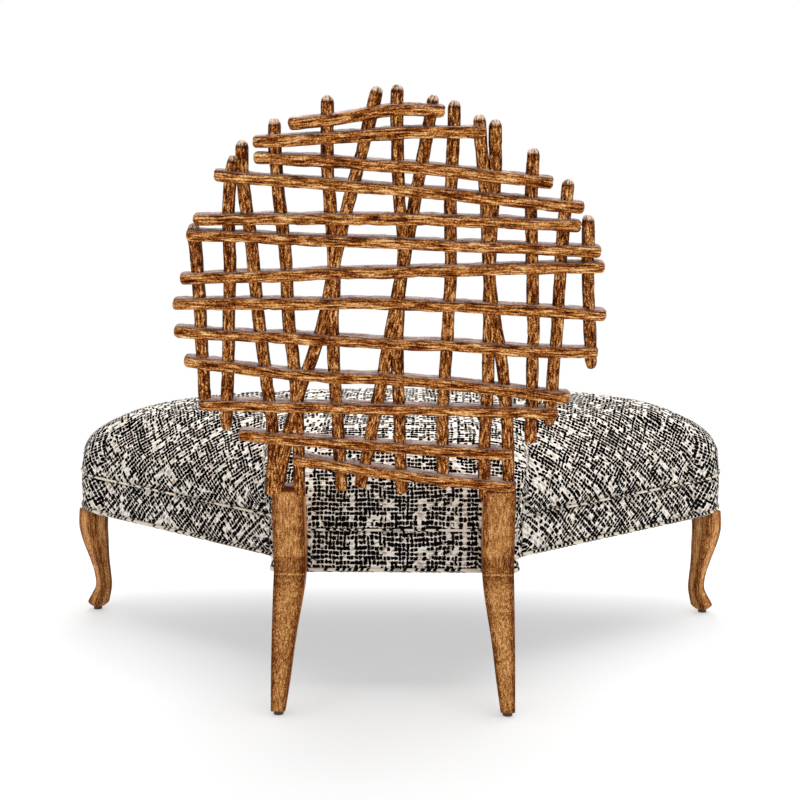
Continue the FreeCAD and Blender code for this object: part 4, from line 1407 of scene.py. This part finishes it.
    def make_band(self) -> None:
        """The band round the frame, bulging a little, as a skin with two faces."""
        ring = self.outline.ring()
        ways = self.outline.normals(ring)
        laid = self.drop_ways()
        bottom, top = self.band_levels()
        rings, weave, wrapped = [], [], []
        for k in range(self.band_rows):
            share = k / (self.band_rows - 1)
            bulge = self.band_bulge * math.sin(math.pi * share) - self.band_sink
            z = bottom + share * (top - bottom)
            rings.append(np.column_stack([ring + ways * bulge, np.full(len(ring), z)]))
            drop = self.seam_height - z
            wrapped.append(self.wrapped(np.full(len(ring), -drop)))
            flat = np.column_stack([ring + laid * drop, np.zeros(len(ring))])
            weave.append(self.turned(flat))
        for row in reversed(rings[:]):
            inner = row.copy()
            inner[:, :2] = ring - ways * self.band_thickness
            rings.append(inner)
        faces = tube_faces(len(rings), len(ring), closed=True)
        band = new_mesh("side_band_cloth", np.vstack(rings), faces)
        store(band, "weave", np.vstack(weave + weave[::-1]))
        store(band, "wrapped", np.vstack(wrapped + wrapped[::-1]))
        install(band, Look.WEAVE, "woven_fabric", "side_band")

    def welt(
        self, name: str, height: float, radius: float, out: float, look: Look, node: str
    ) -> None:
        """A cloth-wrapped cord round the whole seat.

        Args:
            name: the piece's name.
            height: level of the cord's middle.
            radius: the cord's radius.
            out: how far the cord's middle stands out from the seat's outline.
            look: the cord's finish.
            node: the node that it stands for.
        """
        ring = self.outline.ring()
        ways = self.outline.normals(ring)
        along, _ = self.outline.run(ring)
        rings, weave = [], []
        for k in range(self.cord_sides):
            angle = 2 * math.pi * k / self.cord_sides
            place = ring + ways * (out + radius * math.cos(angle))
            level = np.full(len(ring), height + radius * math.sin(angle))
            rings.append(np.column_stack([place, level]))
            turned = np.full(len(ring), radius * angle)
            weave.append(np.column_stack([along, turned, np.zeros(len(ring))]))
        faces = tube_faces(self.cord_sides, len(ring), closed=True)
        cord = new_mesh(name, np.vstack(rings), faces)
        store(cord, "weave", np.vstack(weave))
        install(cord, look, "welt_fabric", node)

    def make_trims(self) -> None:
        """The cords up both edges of the back panel."""
        bottom, top = self.band_levels()
        radius, rows, sides = self.trim_radius, self.trim_rows, self.cord_sides
        points, weave, faces = [], [], []
        for _, side in SIDES:
            start = len(points)
            for k in range(rows):
                z = bottom + (top - bottom) * k / (rows - 1)
                for j in range(sides):
                    angle = 2 * math.pi * j / sides
                    x = side * self.trim_x + radius * math.cos(angle)
                    y = REAR_FEET_Y - self.trim_setback + radius * math.sin(angle)
                    points.append((x, y, z))
                    weave.append((z, radius * angle, 0))
            tube = tube_faces(rows, sides, capped=True)
            faces += [tuple(i + start for i in face) for face in tube]
        trims = new_mesh("back_panel_cords", np.array(points), faces)
        store(trims, "weave", np.array(weave))
        install(trims, Look.WELT, "welt_fabric", "back_panel_trims")

    def build(self) -> None:
        """Make every upholstered piece."""
        self.make_crown()
        self.make_band()
        lift, *cord = self.seam_cord
        self.welt("seam_welt_cord", self.seam_height + lift, *cord, Look.SEAM_WELT, "seam_welt")
        lift, *cord = self.hem_cord
        self.welt("hem_welt_cord", self.hem_height + lift, *cord, Look.WELT, "hem_welt")
        self.make_trims()


def carve_leg(node: str, points: list, edges: list[float], rings: int) -> None:
    """Put a leg made of level rings of points in place of its node.

    Args:
        node: the node's name.
        points: the rings' points, from one end to the other.
        edges: for each point, how much it is darkened as an edge, or as painted shade on a post's
            top.
        rings: how many rings there are.
    """
    faces = tube_faces(rings, len(edges) // rings, capped=True)
    leg = new_mesh(f"{node}_carved", np.array(points), faces)
    store(leg, "edge", np.array(edges))
    install(leg, Look.LEG, "leg_wood", node)


def box_ring(x0: float, x1: float, y0: float, y1: float, radius: float) -> tuple[list, list]:
    """A level box outline with round corners.

    Args:
        x0, x1, y0, y1: the box's limits.
        radius: the corners' radius.

    Returns:
        The outline's points, and for each how near it is to a corner, from 0 to 1.
    """
    arcs = []
    for quarter, (x, y) in enumerate(((x1, y1), (x0, y1), (x0, y0), (x1, y0))):
        middle_x = x - math.copysign(radius, x - (x0 + x1) / 2)
        middle_y = y - math.copysign(radius, y - (y0 + y1) / 2)
        angles = [math.pi / 2 * (quarter + k / (ARC_POINTS - 1)) for k in range(ARC_POINTS)]
        arc = [(middle_x + radius * math.cos(a), middle_y + radius * math.sin(a)) for a in angles]
        arcs.append(arc)
    ring, near = [], []
    for arc, after in zip(arcs, arcs[1:] + arcs[:1]):
        ring += arc
        near += [1.0] * ARC_POINTS
        for k in range(1, SIDE_STEPS):
            share = k / SIDE_STEPS
            ring.append(tuple(a + share * (b - a) for a, b in zip(arc[-1], after[0])))
            near.append(max(0.0, 1 - EDGE_FALL * min(share, 1 - share)))
    return ring, near


@dataclass
class RearLegs:
    """Both rear legs with their posts.

    Setbacks run from the line of the rear feet to the front. The width's table has a share of
    the height up to the knee and the share of the width there.
    """

    width: float = 0.062
    outer_x: float = 0.234
    foot_depth: float = 0.032
    glide_height: float = 0.010
    knee_height: float = 0.260
    knee_setback: float = 0.078
    front_setback: float = 0.1375
    front_knee_height: float = 0.243
    shoulder_height: float = 0.3355
    top_height: float = 0.432
    top_depth: float = 0.044
    rake: float = math.radians(8)
    heel_hollow: float = 0.015
    toe_hollow: float = 0.008
    corner: float = 0.0035
    steps: int = 90
    # Darkening of the post's top: painted shade in the gap where the twigs meet it.
    top_shade: float = 2.0
    width_shares: tuple = (
        (0.00, 0.45),
        (0.22, 0.58),
        (0.43, 0.68),
        (0.57, 0.76),
        (0.71, 0.86),
        (0.85, 0.95),
        (1.00, 1.00),
    )

    def bend(self, z: float, foot: tuple, knee: tuple, hollow: float) -> float:
        """Place of a bent edge between two places.

        Args:
            z: the height that is asked for.
            foot, knee: setback and height of the edge's lower and upper end.
            hollow: how far the edge's middle is drawn in.

        Returns:
            The edge's setback there.
        """
        share = (z - foot[1]) / (knee[1] - foot[1])
        return foot[0] + share * (knee[0] - foot[0]) - 4 * hollow * share * (1 - share)

    def rear_setback(self, z: float) -> float:
        """How far the rear face lies in front of the rear-foot line at a height."""
        if z > self.knee_height:
            return self.knee_setback - (z - self.knee_height) * math.tan(self.rake)
        foot = (-self.foot_depth / 2, self.glide_height)
        return self.bend(z, foot, (self.knee_setback, self.knee_height), self.heel_hollow)

    def front_setback_at(self, z: float) -> float:
        """How far the front face lies in front of the rear-foot line at a height."""
        if z > self.shoulder_height:
            top = self.rear_setback(self.top_height) + self.top_depth
            share = (z - self.shoulder_height) / (self.top_height - self.shoulder_height)
            return self.front_setback + share * (top - self.front_setback)
        if z > self.front_knee_height:
            return self.front_setback
        foot = (self.foot_depth / 2, self.glide_height)
        return self.bend(z, foot, (self.front_setback, self.front_knee_height), self.toe_hollow)

    def build(self) -> None:
        """Loft each leg up its bent edges."""
        shares = np.array(self.width_shares)
        for name, side in SIDES:
            points, edges = [], []
            for k in range(self.steps):
                rise = (self.top_height - self.glide_height) * k / (self.steps - 1)
                z = self.glide_height + rise
                up = (z - self.glide_height) / (self.knee_height - self.glide_height)
                width = self.width * float(np.interp(up, shares[:, 0], shares[:, 1]))
                x0, x1 = self.outer_x - width, self.outer_x
                y0 = REAR_FEET_Y - self.front_setback_at(z)
                y1 = REAR_FEET_Y - self.rear_setback(z)
                ring, near = box_ring(x0, x1, y0, y1, self.corner)
                points += [(side * x, y, z) for x, y in ring]
                # The top two rings take the strongest darkening: painted shade on the post's top,
                # in the gap under the twigs.
                edges += [self.top_shade] * len(near) if k >= self.steps - 2 else near
            carve_leg(f"rear_leg_{name}", points, edges, self.steps)


@dataclass
class FrontLegs:
    """Both cabriole legs.

    The table has a share of the height, and the girth and the swing there as shares of the
    leg's width. The swing runs outward, along the leg's diagonal.
    """

    width: float = 0.054
    x: float = 0.711
    y: float = REAR_FEET_Y - 0.650
    top: float = 0.243
    sole: float = 0.0075
    rows: int = 64
    corner_share: float = 0.5
    edge_gain: float = 0.85
    edge_base: float = -0.13
    table: tuple = (
        (1.000, 1.000, 0.000),
        (0.910, 1.030, 0.020),
        (0.810, 1.010, 0.030),
        (0.670, 0.905, -0.040),
        (0.500, 0.705, -0.165),
        (0.350, 0.590, -0.280),
        (0.220, 0.575, -0.320),
        (0.135, 0.655, -0.215),
        (0.068, 0.735, -0.100),
        (0.035, 0.720, -0.060),
        (0.000, 0.440, -0.050),
    )

    def build(self) -> None:
        """Loft each leg along its sway."""
        flare = SeatOutline().flare()
        rows = smooth_rows(self.table, self.rows)
        for name, side in SIDES:
            angle = math.pi / 4 - flare
            sway = np.array([side * math.cos(angle), math.sin(angle)])
            cos, sin = math.cos(-side * flare), math.sin(-side * flare)
            points, edges = [], []
            for up, girth, swing in rows:
                half = girth * self.width / 2
                ring, near = box_ring(-half, half, -half, half, self.corner_share * half)
                middle = np.array([side * self.x, self.y]) + sway * swing * self.width
                z = self.sole + up * (self.top - self.sole)
                for x, y in ring:
                    points.append((middle[0] + x * cos - y * sin, middle[1] + x * sin + y * cos, z))
                edges += [self.edge_gain * share + self.edge_base for share in near]
            carve_leg(f"front_leg_{name}", points, edges, self.rows)


@dataclass
class HiddenParts:
    """The nodes that keep their CAD shape, and their finishes."""

    looks: dict[str, Look] = field(
        default_factory=lambda: {
            "back_rail": Look.FRAME_WOOD,
            "front_rail": Look.FRAME_WOOD,
            "side_rail_left": Look.FRAME_WOOD,
            "side_rail_right": Look.FRAME_WOOD,
            "front_corner_block_left": Look.FRAME_WOOD,
            "front_corner_block_right": Look.FRAME_WOOD,
            "rear_corner_blocks": Look.FRAME_WOOD,
            "seat_stretchers": Look.FRAME_WOOD,
            "frame_dowels": Look.DOWEL_WOOD,
            "deck_pad": Look.FELT,
            "dust_cover": Look.DUST_CLOTH,
            "seat_springs": Look.SPRING_STEEL,
            "spring_clips": Look.SPRING_STEEL,
            "rear_leg_bolts": Look.FASTENER_STEEL,
            "front_leg_bolts": Look.FASTENER_STEEL,
            "block_screws": Look.FASTENER_STEEL,
            "dust_cover_tacks": Look.FASTENER_STEEL,
            "floor_glides": Look.GLIDE,
        }
    )

    def build(self) -> None:
        """Give each node its material."""
        for name, look in self.looks.items():
            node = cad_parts[name]
            node.data.materials.clear()
            node.data.materials.append(look.dress())
            log.info("%s keeps its CAD shape in %s", name, look.value.name)


@dataclass
class Studio:
    """Camera, floor, backdrop and lights.

    Each lamp has a name, a place, what it points at, the length of its side and its power.
    """

    lens: float = 67.5
    sensor: float = 36.0
    far_clip: float = 100.0
    pitch: float = math.radians(9.83)
    yaw: float = math.radians(1.0)
    place: tuple[float, float, float] = (-0.0614, REAR_FEET_Y + 2.7381, 1.0876)
    fill: float = 0.45
    floor_half: float = 12.0
    floor_shade: float = 0.93
    fade: tuple[float, float] = (0.8, 1.9)
    least_fade: float = 0.47
    lamps: tuple = (
        ("overhead", (-0.3, -0.9, 3.4), (0, 0, 0.3), 4.4, 176),
        ("behind_camera", (-0.6, 4.6, 2.2), (0, 0, 0.6), 2.6, 22),
        ("left_side", (3.6, 2.4, 2.0), (0, 0, 0.5), 2.0, 12),
        ("right_side", (-3.6, 2.4, 2.0), (0, 0, 0.5), 2.0, 16),
        ("front_fill", (0.4, -3.6, 2.8), (0, 0, 0.4), 2.6, 50),
    )

    def camera(self) -> None:
        """Put the camera where the photo was taken from."""
        data = bpy.data.cameras.new("camera")
        data.lens = self.lens
        data.sensor_width = self.sensor
        data.clip_end = self.far_clip
        camera = put("camera", data)
        camera.location = self.place
        level = math.cos(self.pitch)
        across, deep = math.sin(self.yaw) * level, -math.cos(self.yaw) * level
        ahead = Vector((across, deep, -math.sin(self.pitch)))
        camera.rotation_mode = "QUATERNION"
        camera.rotation_quaternion = ahead.to_track_quat("-Z", "Y")
        bpy.context.scene.camera = camera

    def lamp(self, name: str, place: tuple, aim: tuple, size: float, power: float) -> None:
        """A square soft lamp.

        Args:
            name: the lamp's name.
            place: where it hangs.
            aim: what it points at.
            size: length of its side.
            power: its power in watts.
        """
        data = bpy.data.lights.new(name, "AREA")
        data.shape = "SQUARE"
        data.size = size
        data.energy = power
        lamp = put(name, data)
        lamp.location = place
        lamp.rotation_mode = "QUATERNION"
        lamp.rotation_quaternion = (Vector(aim) - Vector(place)).to_track_quat("-Z", "Y")

    def world(self) -> None:
        """White where the camera sees it, and a dimmer fill for the rest."""
        world = bpy.data.worlds.new("studio")
        bpy.context.scene.world = world
        world.use_nodes = True
        g = Graph(world.node_tree)
        world.node_tree.nodes.clear()
        path = g.add("ShaderNodeLightPath")
        seen = g.math("MAXIMUM", path.outputs["Is Camera Ray"], path.outputs["Is Glossy Ray"])
        seen = g.math("MAXIMUM", seen, path.outputs["Is Transmission Ray"])
        strength = g.weighted(self.fill, (seen, 1 - self.fill))
        white = (1.0, 1.0, 1.0, 1.0)
        background = g.add("ShaderNodeBackground", {"Color": white, "Strength": strength})
        g.add("ShaderNodeOutputWorld", {"Surface": background.outputs[0]})

    def floor(self) -> None:
        """A pale floor that fades into the backdrop away from the chair."""
        mesh = bpy.data.meshes.new("floor")
        half = self.floor_half
        corners = [(-half, -half, 0), (half, -half, 0), (half, half, 0), (-half, half, 0)]
        mesh.from_pydata(corners, [], [(0, 1, 2, 3)])
        floor = put("floor", mesh)
        dress = Dressing("floor", Roughness=0.9, Specular_IOR_Level=0.0)
        dress.colour((self.floor_shade, self.floor_shade, self.floor_shade, 1))
        g = dress.graph
        path = g.add("ShaderNodeLightPath").outputs["Is Camera Ray"]
        flat = g.stretched(dress.place(), (1, 1, 0))
        length = g.add("ShaderNodeVectorMath", {0: flat}, operation="LENGTH").outputs["Value"]
        faded = (g.step(length, *self.fade), 1 - self.least_fade)
        far = g.weighted(self.least_fade, faded)
        glow = g.add("ShaderNodeEmission", {"Color": (1.0, 1.0, 1.0, 1.0), "Strength": 1.0})
        feeds = {0: g.math("MULTIPLY", far, path), 1: dress.shader.outputs[0], 2: glow.outputs[0]}
        mixed = g.add("ShaderNodeMixShader", feeds).outputs[0]
        g.feed(dress.material.node_tree.nodes["Material Output"].inputs["Surface"], mixed)
        mesh.materials.append(dress.material)

    def build(self) -> None:
        """Set the whole stage."""
        bpy.context.scene.view_settings.view_transform = "Standard"
        self.camera()
        self.world()
        self.floor()
        for lamp in self.lamps:
            self.lamp(*lamp)


def main() -> None:
    """Build the chair's looks from the stage inward."""
    logging.basicConfig(level=logging.INFO, format="%(name)s: %(message)s")
    Studio().build()
    HiddenParts().build()
    TwigBack().build()
    RearLegs().build()
    FrontLegs().build()
    Seat().build()


if __name__ == "__main__":
    main()
